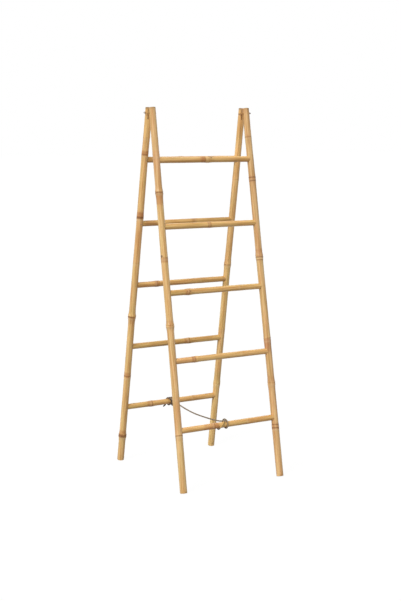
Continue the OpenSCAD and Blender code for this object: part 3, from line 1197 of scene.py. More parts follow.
        ends = np.zeros((*z.shape, 3))
        ends[:first, :, 1] = 1.0
        ends[last:, :, 1] = 1.0
        ends[first - 4:first, :, :2] = (1.0, 0.0)
        ends[last:last + 4, :, :2] = (1.0, 0.0)
        ends[skin, :, 2] = self.pale(z[skin], around[skin])
        made = self.skin(z, around, r, ends, holes)
        made.half = self.half
        return self.dress(made, "bamboo_stile")


@dataclass
class Rung(Culm):
    """A rung whose ends are coped to the stiles, with a tenon in each of them.

    Attributes:
        stile_r: radius of the stiles at its height.
        tenon_d: diameter of its tenons.
        gap: gap between its shoulders and the stiles.
        shoulder: what the shoulder's edge is taken back by.
        lip: distance from a shoulder to the first ring of the skin.
        ease: length over which the rings go from coped to level.
    """

    stile_r: float = 14.5
    tenon_d: float = 16.5
    gap: float = 0.3
    shoulder: float = 0.5
    lip: float = 0.4
    ease: float = 26.0

    def build(self) -> bpy.types.Object:
        """The rung as one closed skin, from inside the left stile to inside the right one.

        At each end the ring of radius p lies where it meets the stile's round skin:
        z = sqrt(R^2 - (p * sin(angle))^2), with R the stile's radius and the gap.

        Returns:
            The piece.
        """
        angle = self.angles([np.array([90.0])])
        columns = len(angle)
        reach = self.stile_r + self.gap
        start, end = reach + self.lip, self.length - reach - self.lip
        skin_z = self.rows(start, end, [])[:, None] * np.ones(columns)
        around = np.ones((len(skin_z), 1)) * angle
        r_skin = self.radius(skin_z, around)
        sine = np.sin(np.radians(angle))

        def coped(p: Floats | float) -> Floats:
            """Distance from the stile's axis at which a line at radius p leaves the stile."""
            return np.sqrt(reach**2 - (p * sine) ** 2)

        drop = coped(r_skin[0]) - reach
        fade = 1 - smooth(0.0, self.ease, skin_z - start)
        other = 1 - smooth(0.0, self.ease, end - skin_z)
        skin_z = skin_z + drop * (fade - other)
        tenon = self.tenon_d / 2
        whole = np.ones(columns)
        first_r, last_r = r_skin[0] - self.shoulder, r_skin[-1] - self.shoulder
        radii = [0.4 * tenon * whole, tenon * whole, tenon * whole, first_r]
        first_z = [whole, whole, coped(tenon), coped(first_r)]
        end_radii = [last_r, *radii[2::-1]]
        last_z = [self.length - coped(last_r), *(self.length - row for row in first_z[2::-1])]
        z = np.concatenate([np.array(first_z), skin_z, np.array(last_z)])
        r = np.concatenate([np.array(radii), r_skin, np.array(end_radii)])
        around = np.ones((len(z), 1)) * angle
        ends = np.zeros((*z.shape, 3))
        ends[:4, :, 0] = ends[-4:, :, 0] = 1.0
        ends[4:-4, :, 2] = self.pale(z[4:-4], around[4:-4])
        return self.dress(self.skin(z, around, r, ends), "bamboo_rung")


# ---- Rope and wires


def tube(path: Floats, radius: Floats, columns: int, reference: Floats) -> tuple[Floats, Floats]:
    """Rings round a path, p + radius * (cos(a) * u + sin(a) * t x u).

    Args:
        path: points of the centre line.
        radius: radius of each ring, or of each of its points.
        columns: points in a ring.
        reference: direction that the first point of each ring is turned to.

    Returns:
        The rings and the angle of each column, in radians.
    """
    t = directions(path)
    u = unit(reference - (t @ reference)[:, None] * t)
    b = np.cross(t, u)
    a = np.arange(columns) * 2 * math.pi / columns
    r = radius[:, None] if radius.ndim == 1 else radius
    ring = (r * np.cos(a))[..., None] * u[:, None] + (r * np.sin(a))[..., None] * b[:, None]
    return path[:, None] + ring, a


@dataclass
class Hitch:
    """Turns of the rope round a lowest rung, drawn with the rung along X at the origin.

    Attributes:
        name: the CAD node that it replaces.
        body: the body that it rides on.
        places: places along the rung, one for each half turn.
        rise: turns between which it climbs onto the turns below it.
        sink: turns between which it sinks again.
        sunk: share of the climb that is left after that.
        turns: number of turns.
        tail: length of the loose end.
        side: 1 or -1 where the loose end bends along the rung, and 0 where it is straight.
        leave: angle below level at which the rope leaves.
        wound_r: radius of the lowest turns: the rung, a gap and half the rope.
        climb: how far a turn climbs over the ones below it.
        reached: share of a half turn in which the rope goes to its next place.
        tail_bend: radius of the bend in the loose end.
        tail_turn: angle of that bend.
    """

    name: str
    body: str
    places: tuple[float, ...]
    rise: tuple[float, float]
    sink: tuple[float, float]
    sunk: float
    turns: float
    tail: float
    side: float = 0.0
    leave: float = 14.0
    wound_r: float = 25.25 / 2 + 0.35 + 3.0
    climb: float = 6.8
    reached: float = 0.8
    tail_bend: float = 8.0
    tail_turn: float = 60.0

    def points(self, t: Floats) -> Floats:
        """Centre line at turn t: [x(t), -R(t) * sin(360 t), R(t) * cos(360 t)].

        x eases from place to place, and R is the wound radius plus a climb over the
        turns below.

        Args:
            t: turns from where the rope reaches the rung.

        Returns:
            The points.
        """
        places = np.array(self.places, float)
        i = np.clip(np.floor(2 * t).astype(int), 0, len(places) - 2)
        x = places[i] + (places[i + 1] - places[i]) * smooth(0, self.reached, 2 * t - i)
        lift = smooth(*self.rise, t) * (1 - (1 - self.sunk) * smooth(*self.sink, t))
        r = self.wound_r + self.climb * lift
        turn = 2 * math.pi * t
        return np.stack([x, -r * np.sin(turn), r * np.cos(turn)], axis=1)

    def loose_end(self, tip: Floats, way: Floats) -> Floats:
        """Centre line of the loose end, a bend sideways and a straight, or a straight.

        The bend is tip + R * (sin(a) * way + (1 - cos(a)) * along).

        Args:
            tip: where the turns end.
            way: direction in which they end.

        Returns:
            The points after the tip.
        """
        if self.side == 0:
            return tip + way * np.linspace(0, self.tail, 24)[1:, None]
        along = np.array([self.side, 0.0, 0.0])
        a = np.radians(np.linspace(0, self.tail_turn, 13)[1:, None])
        bend = tip + self.tail_bend * (np.sin(a) * way + (1 - np.cos(a)) * along)
        rest = self.tail - self.tail_bend * a[-1]
        straight = np.linspace(0, 1, 14)[1:, None] * rest
        return np.concatenate([bend, bend[-1] + straight * (np.cos(a[-1]) * way
                                                            + np.sin(a[-1]) * along)])

    def path(self, meet: Floats) -> Floats:
        """Centre line from where it meets the free rope to the tip of its loose end.

        Args:
            meet: end of the free rope.

        Returns:
            The points.
        """
        t = np.linspace(-self.leave / 360, self.turns, int(self.turns * 110))
        turns = self.points(t)
        lead = meet + (turns[0] - meet) * np.linspace(0, 1, 8, endpoint=False)[:, None]
        way = unit(turns[-1] - turns[-2])
        return np.concatenate([lead, turns, self.loose_end(turns[-1], way)])


@dataclass
class Rope:
    """Three-strand rope from the tip of its front loose end to the tip of its back one.

    Attributes:
        layout: the two frames.
        diameter: its thickness.
        lay: length in which a strand goes once round.
        strand: a strand's distance from the centre line and its radius, as shares of half
            the thickness.
        rounding: length over which a tip is rounded off.
        columns: points in a ring.
        step: distance between two rings.
        route: points of the free stretch, as in the part's source.
        front: the turns round the front rung.
        back: the turns round the back rung.
        finish: its colours.
    """

    layout: Layout
    diameter: float = 6.0
    lay: float = 21.0
    strand: tuple[float, float] = (0.31, 0.72)
    rounding: float = 1.4
    columns: int = 36
    step: float = 0.85
    route: tuple[tuple[float, float, float], ...] = (
        (-20, -236, 267.7), (-19.4, -215, 263), (-18.6, -190, 259.2), (-17.3, -145, 254.6),
        (-15.9, -100, 251.4), (-14.6, -55, 248.8), (-13.3, -10, 246.9), (-11.9, 35, 246.7),
        (-10.6, 78, 248.5), (-9.5, 118, 251.4), (-8.4, 155, 255), (-7.4, 188, 259),
        (-6.6, 214, 263), (-6, 234, 267.6))
    front: Hitch = field(default_factory=lambda: Hitch(
        "front_hitch", "front_ladder", (0, -28, 10, 10, 7, 8), rise=(1.55, 1.75),
        sink=(1.9, 2.05), sunk=0.88, turns=2.06, tail=9.0))
    back: Hitch = field(default_factory=lambda: Hitch(
        "back_hitch", "back_ladder", (0, -9, 8, 9, -9, -18), rise=(1.44, 1.64),
        sink=(1.78, 1.95), sunk=0.0, turns=2.38, tail=22.0, side=-1.0))
    finish: RopeFinish = field(default_factory=RopeFinish)

    def free_path(self, steps: int) -> Floats:
        """Smooth curve through the route.

        Between two points it is a cubic, with the slope (next - previous) / 2 at both.

        Args:
            steps: points from each route point to the next.

        Returns:
            The points.
        """
        p = np.array(self.route, float)
        slope = np.concatenate([[(p[1] - p[0]) / 2], (p[2:] - p[:-2]) / 2,
                                [(p[-1] - p[-2]) / 2]])
        u = (np.arange(steps) / steps)[None, :, None]
        e = u * u * (3 - 2 * u)
        runs = (p[:-1, None] * (1 - e) + p[1:, None] * e
                + slope[:-1, None] * u * (1 - u) ** 2 - slope[1:, None] * u * u * (1 - u))
        return np.concatenate([runs.reshape(-1, 3), p[-1:]])

    def whole_path(self) -> tuple[Floats, int, int]:
        """Centre line of the whole rope.

        Returns:
            Its points, and the numbers of those where the free stretch starts and ends.
        """
        away, height = self.layout.axis(self.layout.rung_at[0])
        route = np.array(self.route, float)
        front_at = np.array([route[0, 0], -away, height])
        back_at = np.array([route[-1, 0], away, height])
        flip = np.array([1.0, -1.0, 1.0])
        front = self.front.path(route[0] - front_at) + front_at
        back = self.back.path((route[-1] - back_at) * flip) * flip + back_at
        parts = [resample(p, self.step)[0] for p in (front[::-1], self.free_path(40), back)]
        start = len(parts[0]) - 1
        path = np.concatenate([parts[0][:-1], parts[1], parts[2][1:]])
        return path, start, start + len(parts[1]) - 1

    def rings(self, path: Floats) -> tuple[Floats, Floats, Floats]:
        """Rings of the laid rope.

        Three round strands of radius q lie at distance c from the centre line, and turn
        round it once in each lay. At an angle a from the nearest strand the outline is
        c * cos(a) + sqrt(q^2 - (c * sin(a))^2).

        Args:
            path: the centre line.

        Returns:
            The rings, the places that follow the strands, and the depth in the grooves.
        """
        s = np.concatenate([[0.0], np.cumsum(np.linalg.norm(np.diff(path, axis=0), axis=1))])
        a = np.arange(self.columns) * 2 * math.pi / self.columns
        own = a[None, :] - 2 * math.pi * s[:, None] / self.lay
        third = 2 * math.pi / 3
        near = (own + third / 2) % third - third / 2
        c, q = (share * self.diameter / 2 for share in self.strand)
        outline = c * np.cos(near) + np.sqrt(q**2 - (c * np.sin(near)) ** 2)
        from_end = np.minimum(s, s[-1] - s)
        near_tip = 1 - np.clip(from_end / self.rounding, 0, 1)
        tip = np.sqrt(np.clip(1 - near_tip**2, 0.02, 1))
        swell = 1 + 0.02 * np.sin(s / 9.0) * np.sin(s / 3.7)
        r = outline * (tip * swell)[:, None]
        rings, _ = tube(path, r, self.columns, np.array([1.0, 0.0, 0.0]))
        lay = np.stack([r * np.cos(own), r * np.sin(own), s[:, None] * np.ones(len(a))], axis=-1)
        depth = (outline.max() - outline) / np.ptp(outline)
        return rings, lay * MM, depth

    def painted_light_and_dark(self, rings: Floats, start: int, end: int) -> Floats:
        """Painted light and darkening of the rope, from -1 for dark to 1 for a painted highlight.

        The front hitch gets a painted highlight on its lit face and painted shade below, by the
        direction from the rung's axis. The back hitch is made darker.

        Args:
            rings: the rope's rings.
            start: number of the ring where the free stretch starts.
            end: number of the ring where it ends.

        Returns:
            The painted light and darkening at each point.
        """
        away, height = self.layout.axis(self.layout.rung_at[0])
        light_and_dark = np.zeros(rings.shape[:2])
        out = unit(rings[:start, :, 1:] - np.array([-away, height]))
        # painted highlight where the front hitch faces forward and not down, towards the light
        face = smooth(0.1, 0.8, -out[..., 0]) * smooth(-0.75, -0.1, out[..., 1])
        before = (start - np.arange(start)) * self.step
        face = face * (0.35 + 0.65 * (1 - smooth(70.0, 85.0, before)))[:, None]
        # painted shade on the underside of the front hitch
        light_and_dark[:start] = face - smooth(0.35, 0.9, -out[..., 1])
        after = np.arange(len(rings) - end) * self.step
        # the back hitch is made darker from just past the free stretch
        light_and_dark[end:] = -smooth(2.0, 14.0, after)[:, None]
        return light_and_dark

    def build(self) -> list[bpy.types.Object]:
        """Both hitches and the free stretch between them.

        Returns:
            The front hitch, the free stretch and the back hitch.
        """
        path, start, end = self.whole_path()
        rings, lay, depth = self.rings(path)
        light_and_dark = self.painted_light_and_dark(rings, start, end)
        jute = self.finish.material("jute_rope")
        parts = {"front_hitch_rope": slice(0, start + 1), "tether": slice(start, end + 1),
                 "back_hitch_rope": slice(end, len(path))}
        made = []
        for name, part in parts.items():
            skin = Skin(rings[part], {"groove": depth[part], "painted_light_and_dark": light_and_dark[part]},
                        {"lay": lay[part]})
            piece = skin.build(name)
            piece.data.materials.append(jute)
            made.append(piece)
        front, free, back = made
        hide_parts(self.front.name)
        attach(front, self.front.body)
        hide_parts(self.back.name)
        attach(back, self.back.body)
        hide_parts("tether_rope")
        self.diameter * MM
        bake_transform(free)
        return made


@dataclass
class HingeWire:
    """Wire that ties a front and a back stile, with its ends twisted together below.

    Attributes:
        layout: the two frames.
        side: the pair of stiles that it ties.
        diameter: its thickness.
        bend: radius of its bends.
        outer_gap: gap between the stiles and the wire on the outer side.
        inner_gap: the same on the inner side.
        tail: length of the twisted ends.
        tail_run: straight length before them.
        twists: turns of the twisted ends.
        strand_gap: gap between the twisted ends.
        eye: radius of the eye at its outer corner.
        eye_out: how far outside the corner that eye starts.
        eye_pitch: what one turn of the eye moves along the wire.
        eye_turns: turns of the eye.
        eye_run: length over which the wire comes back to its line.
        columns: points in a ring.
        step: distance between two rings.
        finish: its colours.
    """

    layout: Layout
    side: Side
    diameter: float = 2.4
    bend: float = 3.0
    outer_gap: float = 1.25
    inner_gap: float = 1.2
    tail: float = 25.0
    tail_run: float = 1.0
    twists: float = 2.0
    strand_gap: float = 0.6
    eye: float = 2.6
    eye_out: float = 1.7
    eye_pitch: float = 2.8
    eye_turns: int = 1
    eye_run: float = 11.0
    columns: int = 16
    step: float = 0.55
    finish: MetalFinish = field(default_factory=lambda: MetalFinish(
        srgb(172, 118, 60), srgb(104, 70, 34), 0.15, 0.45))

    def _corner(self, p: Sequence[float], into: Sequence[float],
                out: Sequence[float]) -> Floats:
        """Quarter bend p + bend * ((sin(a) - 1) * into + (1 - cos(a)) * out).

        Args:
            p: the corner.
            into: direction in which the wire comes to it.
            out: direction in which the wire leaves it.

        Returns:
            The points.
        """
        a = np.linspace(0, math.pi / 2, 11)[:, None]
        turned = (np.sin(a) - 1) * np.array(into) + (1 - np.cos(a)) * np.array(out)
        return np.array(p) + self.bend * turned

    def _pinch(self, p: Sequence[float], into: Floats, along: Floats) -> Floats:
        """Corner with the small upright eye that the pliers leave when they draw it tight.

        The eye is a turn or two of a helix, q + R * (sin(t) * into + (1 - cos(t)) * up)
        + pitch * t / 2pi * along. Behind the corner the wire comes back to its line by
        half a cosine.

        Args:
            p: the corner.
            into: direction in which the wire comes to it.
            along: direction in which the wire leaves it.

        Returns:
            The points.
        """
        up, side = np.array([0.0, 0.0, 1.0]), self.eye_out + self.bend
        q = np.array(p) + self.eye_out * into
        t = np.linspace(0, 2 * math.pi * self.eye_turns, 32 * self.eye_turns + 1)[:, None]
        eye = (q + self.eye * (np.sin(t) * into + (1 - np.cos(t)) * up)
               + self.eye_pitch * t / (2 * math.pi) * along)
        start = self.eye_pitch * self.eye_turns + self.bend
        u = np.linspace(0, 1, 17)[1:, None]
        back = (np.array(p) + side * (1 + np.cos(math.pi * u)) / 2 * into
                + (start + self.eye_run * u) * along)
        return np.concatenate([eye[:-1], self._corner(p + side * into + start * along,
                                                      into, along), back])

    def path(self) -> Floats:
        """Up one strand, round through the four holes, and down the other strand.

        The two strands are turns of a helix, strand_r * (sin(a), cos(a)) and its opposite,
        that drops evenly.

        Returns:
            The points, from the hinge's own centre.
        """
        hinge_y = self.layout.axis(self.layout.hinge_at)[0]
        r = self.layout.stile_r(self.layout.hinge_at) + self.diameter / 2
        outer, inner = r + self.outer_gap, r + self.inner_gap
        low, high = (-outer, inner) if self.side is Side.LEFT else (-inner, outer)
        strand_r = (self.diameter + self.strand_gap) / 2
        tail_y = 2 * self.bend + strand_r + self.tail_run - hinge_y
        a = np.linspace(0, 2 * math.pi * self.twists, int(40 * self.twists))[1:]
        drop = -self.bend - (self.tail - self.bend) * a / a[-1]
        spin = np.stack([strand_r * np.sin(a), strand_r * np.cos(a), drop], axis=1)
        axis = np.array([low, tail_y, 0.0])
        one = axis + spin * (-1, -1, 1)
        two = axis + spin
        x, y, z = np.eye(3)
        if self.side is Side.LEFT:
            front = self._corner((high, -hinge_y, 0), x, y)
            back = self._pinch((low, hinge_y, 0), -x, -y)
        else:
            front = self._pinch((high, -hinge_y, 0), x, y)
            back = self._corner((low, hinge_y, 0), -x, -y)
        return np.concatenate([
            one[::-1],
            self._corner((low, tail_y - strand_r, 0), z, -y),
            self._corner((low, -hinge_y, 0), -y, x),
            front,
            self._corner((high, hinge_y, 0), y, -x),
            back,
            self._corner((low, tail_y + strand_r, 0), -y, -z),
            two])

    def build(self) -> bpy.types.Object:
        """The wire as one tube.

        Returns:
            The piece.
        """
        name = f"{self.side.name.lower()}_hinge_wire"
        height = self.layout.hinge_at
        at = np.array([self.side.value * self.layout.stile_x(height), 0.0,
                       self.layout.axis(height)[1]])
        path, s = resample(self.path(), self.step)
        from_end = np.minimum(s, s[-1] - s)
        radius = self.diameter / 2 * np.where(from_end < 0.01, 0.8, 1.0)
        rings, _ = tube(path + at, radius, self.columns, np.array([1.0, 0.07, 0.03]))
        made = Skin(rings).build(f"{name}_tube")
        made.data.materials.append(self.finish.material(f"wire_{self.side.name.lower()}"))
        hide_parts(name)
        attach(made, name)
        return made


# ---- The ladder


@dataclass
class TowelLadder:
    """The whole ladder.

    Attributes:
        layout: the two frames.
        honey: finish of the front left stile.
        straw: finish of the front right stile.
        sand: finish of the back left stile.
        wheat: finish of the back right stile.
        tan: finish of the back rungs.
        amber: finish of the front rungs.
    """

    layout: Layout = field(default_factory=Layout)
    honey: BambooFinish = field(default_factory=BambooFinish)
    straw: BambooFinish = field(default_factory=lambda: BambooFinish(
        light=srgb(236, 194, 135), deep=srgb(201, 151, 92), warm=srgb(184, 120, 72)))
    sand: BambooFinish = field(default_factory=lambda: BambooFinish(
        light=srgb(245, 204, 136), deep=srgb(210, 159, 93), warm=srgb(186, 120, 70)))
    wheat: BambooFinish = field(default_factory=lambda: BambooFinish(
        light=srgb(250, 210, 143), deep=srgb(215, 166, 100), warm=srgb(190, 126, 74)))
    tan: BambooFinish = field(default_factory=lambda: BambooFinish(
        light=srgb(238, 193, 120), deep=srgb(200, 148, 82), warm=srgb(178, 116, 66)))
    amber: BambooFinish = field(default_factory=lambda: BambooFinish(
        light=srgb(243, 200, 128), deep=srgb(213, 160, 90), warm=srgb(190, 122, 66)))

    def stile(self, face: Face, side: Side, joints: tuple[Joint, ...],
              patches: tuple[Stretch, ...], tones: tuple[Tone, ...], seed: int,
              finish: BambooFinish, spots: tuple[Spot, ...] = (),
              shade_spots: tuple[Spot, ...] = (), washes: tuple[Wash, ...] = ()) -> Stile:
        """A stile in its place, with painted shade on the rim, darkest on the side away from the
        key lamp.

        Args:
            face: its frame.
            side: its side.
            joints: its nodes.
            patches: its reddish stretches.
            tones: shade and hue between its nodes.
            seed: number of its pattern.
            finish: its colours.
            spots: its dark spots.
            shade_spots: its grey-brown spots of painted shade.
            washes: its stretches of another tone.

        Returns:
            The stile.
        """
        lay = self.layout
        return Stile(
            name=f"{face.value}_{side.name.lower()}_stile", body=f"{face.value}_ladder",
            place=lay.stile_place(face, side), length=lay.stile_len,
            foot_d=lay.stile_foot_d, top_d=lay.stile_top_d, joints=joints, patches=patches,
            spots=spots, shade_spots=shade_spots, tones=tones, washes=washes,
            # painted shade on the rim is darkest on the side away from the key lamp
            rim_shade_side=330.0 if face is Face.FRONT else 210.0, seed=seed, finish=finish, kink=0.7,
            hole_at=lay.stile_len - lay.hinge_drop, nails_at=lay.rung_at)

    def rung(self, face: Face, step: int, joints: tuple[Joint, ...],
             patches: tuple[Stretch, ...], seed: int, finish: BambooFinish,
             tones: tuple[Tone, ...] = (), spots: tuple[Spot, ...] = ()) -> Rung:
        """A rung in its place.

        Args:
            face: its frame.
            step: its number, from 0 for the lowest.
            joints: its nodes, counted from its middle.
            patches: its reddish stretches, counted from its middle.
            seed: number of its pattern.
            finish: its colours.
            tones: shade and hue between its nodes.
            spots: its dark spots, counted from its middle.

        Returns:
            The rung.
        """
        lay = self.layout
        height = lay.rung_at[step]
        half = lay.stile_x(height)
        moved = tuple(replace(j, at=j.at + half) for j in joints)
        stained = tuple((a + half, b + half, s) for a, b, s in patches)
        dark = tuple((spot[0] + half, *spot[1:]) for spot in spots)
        return Rung(
            name=f"{face.value}_rung_{step + 1}", body=f"{face.value}_ladder",
            place=lay.rung_place(face, height), length=2 * half, foot_d=lay.rung_d,
            top_d=lay.rung_d, joints=moved, patches=stained, spots=dark, tones=tones,
            seed=seed, finish=finish, kink=0.0 if step == 0 else 0.5,
            stile_r=lay.stile_r(height))

    def stiles(self) -> list[Stile]:
        """The four stiles, with the nodes and marks that the photo shows.

        Returns:
            The stiles, front left, front right, back left and back right.
        """
        f, b, l, r = Face.FRONT, Face.BACK, Side.LEFT, Side.RIGHT
        return [
            self.stile(f, l, (
                Joint(238, 0.8, 40, 0.7, 0.45, thick=2.5, zone=(-24, 0)),
                Joint(392, 0.4, None, 0.15, 0.1),
                Joint(692, 3.2, 60, 0.45, 0.6, shift=-11, thick=2.4, zone=(0, 36)),
                Joint(974, 0.8, None, 0.7, 0.85, 0.4, apart=-13, thick=2.6, zone=(-20, 2),
                      facing=330),
                Joint(1245, 2.8, 100, 0.8, 0.7, 0.3, apart=-8, thick=2.4, zone=(-56, 2)),
                Joint(1396, 0.6, None, 0.1, 0.45)),
                ((440, 560, 0.35),),
                ((0, -0.3), (-0.1, 0.5), (0, 0), (0.5, -0.3), (0.5, -0.3), (-0.2, 0.3),
                 (0, 0.2)), 1, self.honey,
                spots=((981, 199, 5.0, 4.2, 1.6), (1243, 185, 3.5, 3.0, 0.9),
                       (1243, 305, 2.6, 3.5, 0.8)),
                # painted shade along the right edge under the top
                shade_spots=((1380, 335, 260, 4.5, 0.45),),
                washes=((1330, 1420, 0.0, 0.7), (640, 682, 0.2, 0.6))),
            self.stile(f, r, (
                Joint(210, 0.9, 110, 0.8, 0.45, 0.7, apart=15, thick=3.0, zone=(-8, 24)),
                Joint(403, 2.2, None, 0.4, 0.6, thick=2.8, zone=(0, 36), facing=310),
                Joint(593, 1.0, 30, 0.6, 0.5, shift=6, thick=3.0, zone=(-50, 2), facing=300),
                Joint(956, 2.2, None, 0.8, 0.65, 0.7, shift=-4, apart=-12, thick=2.8,
                      zone=(0, 40)),
                Joint(1293, 0.9, 60, 0.75, 0.55, 0.8, shift=-9, apart=15, thick=3.0,
                      zone=(-6, 26)),
                Joint(1475, 0.6, None, 0.5, 0.35, thick=3.0, zone=(-6, 14))),
                ((420, 470, 0.3), (1578, 1596, 0.35)),
                ((0, 0.2), (0, 0.2), (-0.1, -0.3), (0.2, -0.5), (-0.2, 0.1), (-0.1, -0.2),
                 (0.2, 0)), 2, self.straw,
                spots=((956, 330, 4.0, 4.0, 0.9), (222, 303, 5.0, 5.0, 0.8),
                       (1298, 300, 5.0, 5.0, 0.75)),
                # painted shade along the right edge, by a node and under the top
                shade_spots=((575, 322, 24, 5, 0.8), (1380, 335, 260, 4.5, 0.4)),
                washes=((538, 596, -1.3, 1.5),)),
            self.stile(b, l, (
                Joint(117, 3.2, 300, 1.0, 0.75, shift=3.5, thick=8.0, zone=(0, 30)),
                Joint(404, 0.8, None, 0.55, 0.75, shift=4, thick=4.0, zone=(-8, 20)),
                Joint(684, 3.4, 20, 1.0, 0.5, thick=3.4, zone=(-34, 6), facing=160),
                Joint(930, 0.4, None, 0.3, 0.35, thick=2.2, zone=(2, 60)),
                Joint(1130, 1.0, 250, 1.0, 1.0, shift=1, thick=5.5, zone=(0, 26)),
                Joint(1402, 0.6, None, 0.5, 0.75, shift=1, thick=4.6, zone=(-6, 18)),
                Joint(1476, 0.4, 330, 0.2, 0.2)),
                ((0, 112, 0.3), (1130, 1185, 0.3)),
                ((-0.3, 0), (0, 0), (0, 0), (0.1, -0.1), (-0.1, 0.6), (0.3, 0), (0.3, 0.2),
                 (0.8, -0.1)), 3, self.sand,
                spots=((128, 120, 5.0, 3.0, 0.5),),
                # painted shade where the back stile meets the front one under the top
                shade_spots=((1590, 121, 14, 3.2, 0.95), (1480, 118, 60, 3.0, 0.5))),
            self.stile(b, r, (
                Joint(315, 2.0, 330, 0.5, 0.25, 0.4, apart=-38, thick=2.4, zone=(-4, 72),
                      facing=60),
                Joint(586, 0.5, None, 0.3, 0.35, thick=2.4, zone=(-60, 0)),
                Joint(894, 2.0, 300, 0.6, 0.4, thick=2.6, zone=(0, 40)),
                Joint(1288, 0.5, None, 0.35, 0.35, thick=2.6, zone=(0, 40))),
                ((940, 1040, 0.2),),
                ((0.2, -0.6), (-0.1, 0.2), (0.4, -0.7), (0.3, 0.1), (0.3, 0.2)), 4, self.wheat,
                spots=((896, 42, 4.0, 4.0, 1.0), (14, 100, 1.8, 7.0, 0.55)),
                # painted shade where the back stile meets the front one under the top
                shade_spots=((1590, 121, 14, 3.2, 0.95), (1480, 118, 60, 3.0, 0.5)),
                washes=((318, 380, -0.2, -0.9),)),
        ]

    def rungs(self) -> list[Rung]:
        """The ten rungs, with the nodes and marks that the photo shows.

        Returns:
            The rungs, from the lowest one up, those of the front frame first.
        """
        f, b = Face.FRONT, Face.BACK
        return [
            self.rung(f, 0, (Joint(-70, 0.7, None, 0.7, 0.9), Joint(99, 0.4, 60, 0.3, 0.3)),
                      ((-120, -60, 0.7),), 11, self.amber, ((0.1, 0.3), (0, -0.1), (0, 0.3))),
            self.rung(f, 1, (Joint(-131, 1.4, 100, 0.45, 0.8, 0.42, shift=-6, apart=-12,
                                   thick=2.8, zone=(-14, 6)), Joint(99, 0.4, None, 0.3, 0.3)),
                      (), 12, self.amber, ((-0.1, 0.8), (0, 0), (-0.1, 0.3))),
            self.rung(f, 2, (Joint(-134, 2.0, 255, 0.5, 0.8, shift=-4, thick=2.8, zone=(-18, 6)),
                             Joint(118, 0.5, None, 0.4, 0.3)),
                      (), 13, self.amber, ((0, -0.4), (0.1, 0), (0, -0.5)),
                      ((-146, 262, 4.0, 3.0, 0.7),)),
            self.rung(f, 3, (Joint(-3, 1.0, None, 0.45, 0.8, 0.42, apart=-12, thick=2.8,
                                   zone=(-14, 3)),), (), 14, self.amber,
                      ((0.3, -0.2), (0.1, -0.2))),
            self.rung(f, 4, (Joint(15, 1.6, 205, 0.5, 0.85, 0.35, shift=-18, apart=22,
                                   thick=3.2, zone=(-24, 2)),), (), 15, self.amber,
                      ((0, 0.1), (0, 0.1)), ((26, 236, 9.0, 5.0, 0.6), (28, 242, 5.0, 3.6, 0.8),
                       (30, 203, 19.0, 4.0, 1.1))),
            self.rung(b, 0, (Joint(-103, 1.6, 250, 0.7, 0.75, thick=2.6,
                                   zone=(-26, 2)), Joint(112, 0.5, None, 0.3, 0.3)),
                      ((-80, -40, 0.35),), 16, self.tan, ((0.1, -0.5), (0, 0.3), (-0.1, 0.2))),
            self.rung(b, 1, (Joint(63, 1.5, 280, 0.7, 0.65, thick=2.6, zone=(-28, 0)),), (),
                      17, self.tan, ((-0.1, -0.8), (0, -0.5))),
            self.rung(b, 2, (Joint(-127, 1.5, 260, 0.6, 0.75, 0.5, zone=(-14, 10)),
                             Joint(103, 0.4, None, 0.3, 0.3)), (), 18, self.tan,
                      ((0, 0.2), (-0.1, 0), (0.1, -0.2))),
            self.rung(b, 3, (Joint(47, 0.7, 300, 0.2, 0.65, zone=(-28, 0)),),
                      ((-215, -150, 0.7),), 19, self.tan, ((0.1, -0.2), (0.1, -0.4))),
            self.rung(b, 4, (Joint(-58, 1.2, None, 0.5, 0.4), Joint(142, 0.6, 280, 0.4, 0.3)),
                      (), 20, self.tan),
        ]

    def build(self) -> None:
        """Builds every piece and dresses the CAD nodes that stay."""
        Rope(self.layout).build()
        HingeWire(self.layout, Side.LEFT).build()
        HingeWire(self.layout, Side.RIGHT, eye_out=2.9, eye_turns=2).build()
        for culm in [*self.stiles(), *self.rungs()]:
            culm.build()
        steel = MetalFinish(srgb(168, 166, 162), srgb(112, 98, 84), 0.9, 0.3)
        for name in ("front_rung_nails", "back_rung_nails"):
            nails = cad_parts[name]
            nails.data.materials.clear()
            nails.data.materials.append(steel.material(f"steel_{name}"))
            log.info("%s: carried over", name)


# ---- Studio


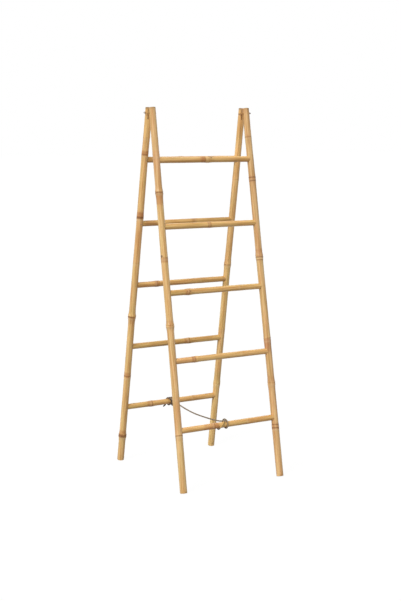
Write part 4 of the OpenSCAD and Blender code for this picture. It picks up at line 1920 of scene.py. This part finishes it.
@dataclass
class Studio:
    """Camera, floor, lamps and backdrop.

    Attributes:
        eye: place of the camera, in metres.
        yaw: turn of the view from +Y towards +X.
        pitch: tilt of the view below level.
        focal: focal length in pixels of the photo.
        long_side: long side of the photo in pixels.
        level: strength of the even light.
        grey: colour of the floor where it takes a shadow.
        glow: strength of the floor's own white where it is seen.
        glow_share: share of that white.
        floor_z: height of the floor, just below the feet.
    """

    eye: tuple[float, float, float] = (-2.5184, -4.2988, 1.4813)
    yaw: float = 30.475
    pitch: float = 8.335
    focal: float = 1157.0
    long_side: float = 601.0
    level: float = 0.55
    grey: float = 0.25
    glow: float = 1.2
    glow_share: float = 0.8
    floor_z: float = -0.0002

    def camera(self) -> None:
        """The camera, at the photo's angle."""
        data = bpy.data.cameras.new("camera")
        data.sensor_width = 36.0
        data.lens = self.focal / self.long_side * data.sensor_width
        data.clip_end = 200.0
        made = bpy.data.objects.new("camera", data)
        made.location = self.eye
        made.rotation_euler = (math.radians(90 - self.pitch), 0.0, -math.radians(self.yaw))
        bpy.context.scene.collection.objects.link(made)
        bpy.context.scene.camera = made

    def lamp(self, name: str, place: tuple[float, float, float], spread: float,
             strength: float) -> None:
        """A far, soft lamp that shines from a place to the origin.

        Args:
            name: its name.
            place: direction that it shines from.
            spread: angle that it takes up in the sky, in degrees.
            strength: light on a surface that faces it, in watts per square metre.
        """
        data = bpy.data.lights.new(name, "SUN")
        data.angle = math.radians(spread)
        data.energy = strength
        made = bpy.data.objects.new(name, data)
        made.location = place
        aim = -Vector(place)
        made.rotation_euler = aim.to_track_quat("-Z", "Y").to_euler()
        bpy.context.scene.collection.objects.link(made)

    def world(self) -> None:
        """Even light, and white where the camera, a gloss or a glass sees it."""
        world = bpy.data.worlds.new("world")
        bpy.context.scene.world = world
        t = Tree(world)
        strength = t.seen() * (1.0 - self.level) + self.level
        back = t.node("ShaderNodeBackground", None, {"Color": WHITE, "Strength": strength})
        t.node("ShaderNodeOutputWorld", None, {"Surface": back.outputs[0]})

    def floor(self, half: float = 60.0) -> None:
        """A plain white floor that keeps the shadow of the ladder.

        Args:
            half: half of its side, in metres.
        """
        z = self.floor_z
        corners = [(-half, -half, z), (half, -half, z), (half, half, z), (-half, half, z)]
        mesh = bpy.data.meshes.new("floor")
        mesh.from_pydata(corners, [], [(0, 1, 2, 3)])
        made = bpy.data.objects.new("floor", mesh)
        bpy.context.scene.collection.objects.link(made)
        t = Tree(bpy.data.materials.new("floor_white"))
        paint = t.node("ShaderNodeBsdfDiffuse", None, {"Color": (*[self.grey] * 3, 1.0)})
        glow = t.node("ShaderNodeEmission", None, {"Color": WHITE, "Strength": self.glow})
        blend = t.node("ShaderNodeMixShader", None, {0: t.seen() * self.glow_share,
                                                     1: paint.outputs[0],
                                                     2: glow.outputs[0]})
        t.node("ShaderNodeOutputMaterial", None, {"Surface": blend.outputs[0]})
        made.data.materials.append(t.owner)

    def light(self) -> None:
        """Even light, a soft key lamp from the upper left, and a weak one from behind."""
        self.world()
        self.lamp("key", (-5.3, -2.6, 4.6), spread=24.0, strength=2.0)
        self.lamp("fill", (4.4, 4.6, 1.4), spread=60.0, strength=0.8)
        bpy.context.scene.view_settings.view_transform = "Standard"


def main() -> None:
    """Sets up the camera, builds the ladder, and lights it."""
    logging.basicConfig(level=logging.INFO, format="%(message)s")
    studio = Studio()
    studio.camera()
    TowelLadder().build()
    studio.floor()
    studio.light()


if __name__ == "__main__":
    main()
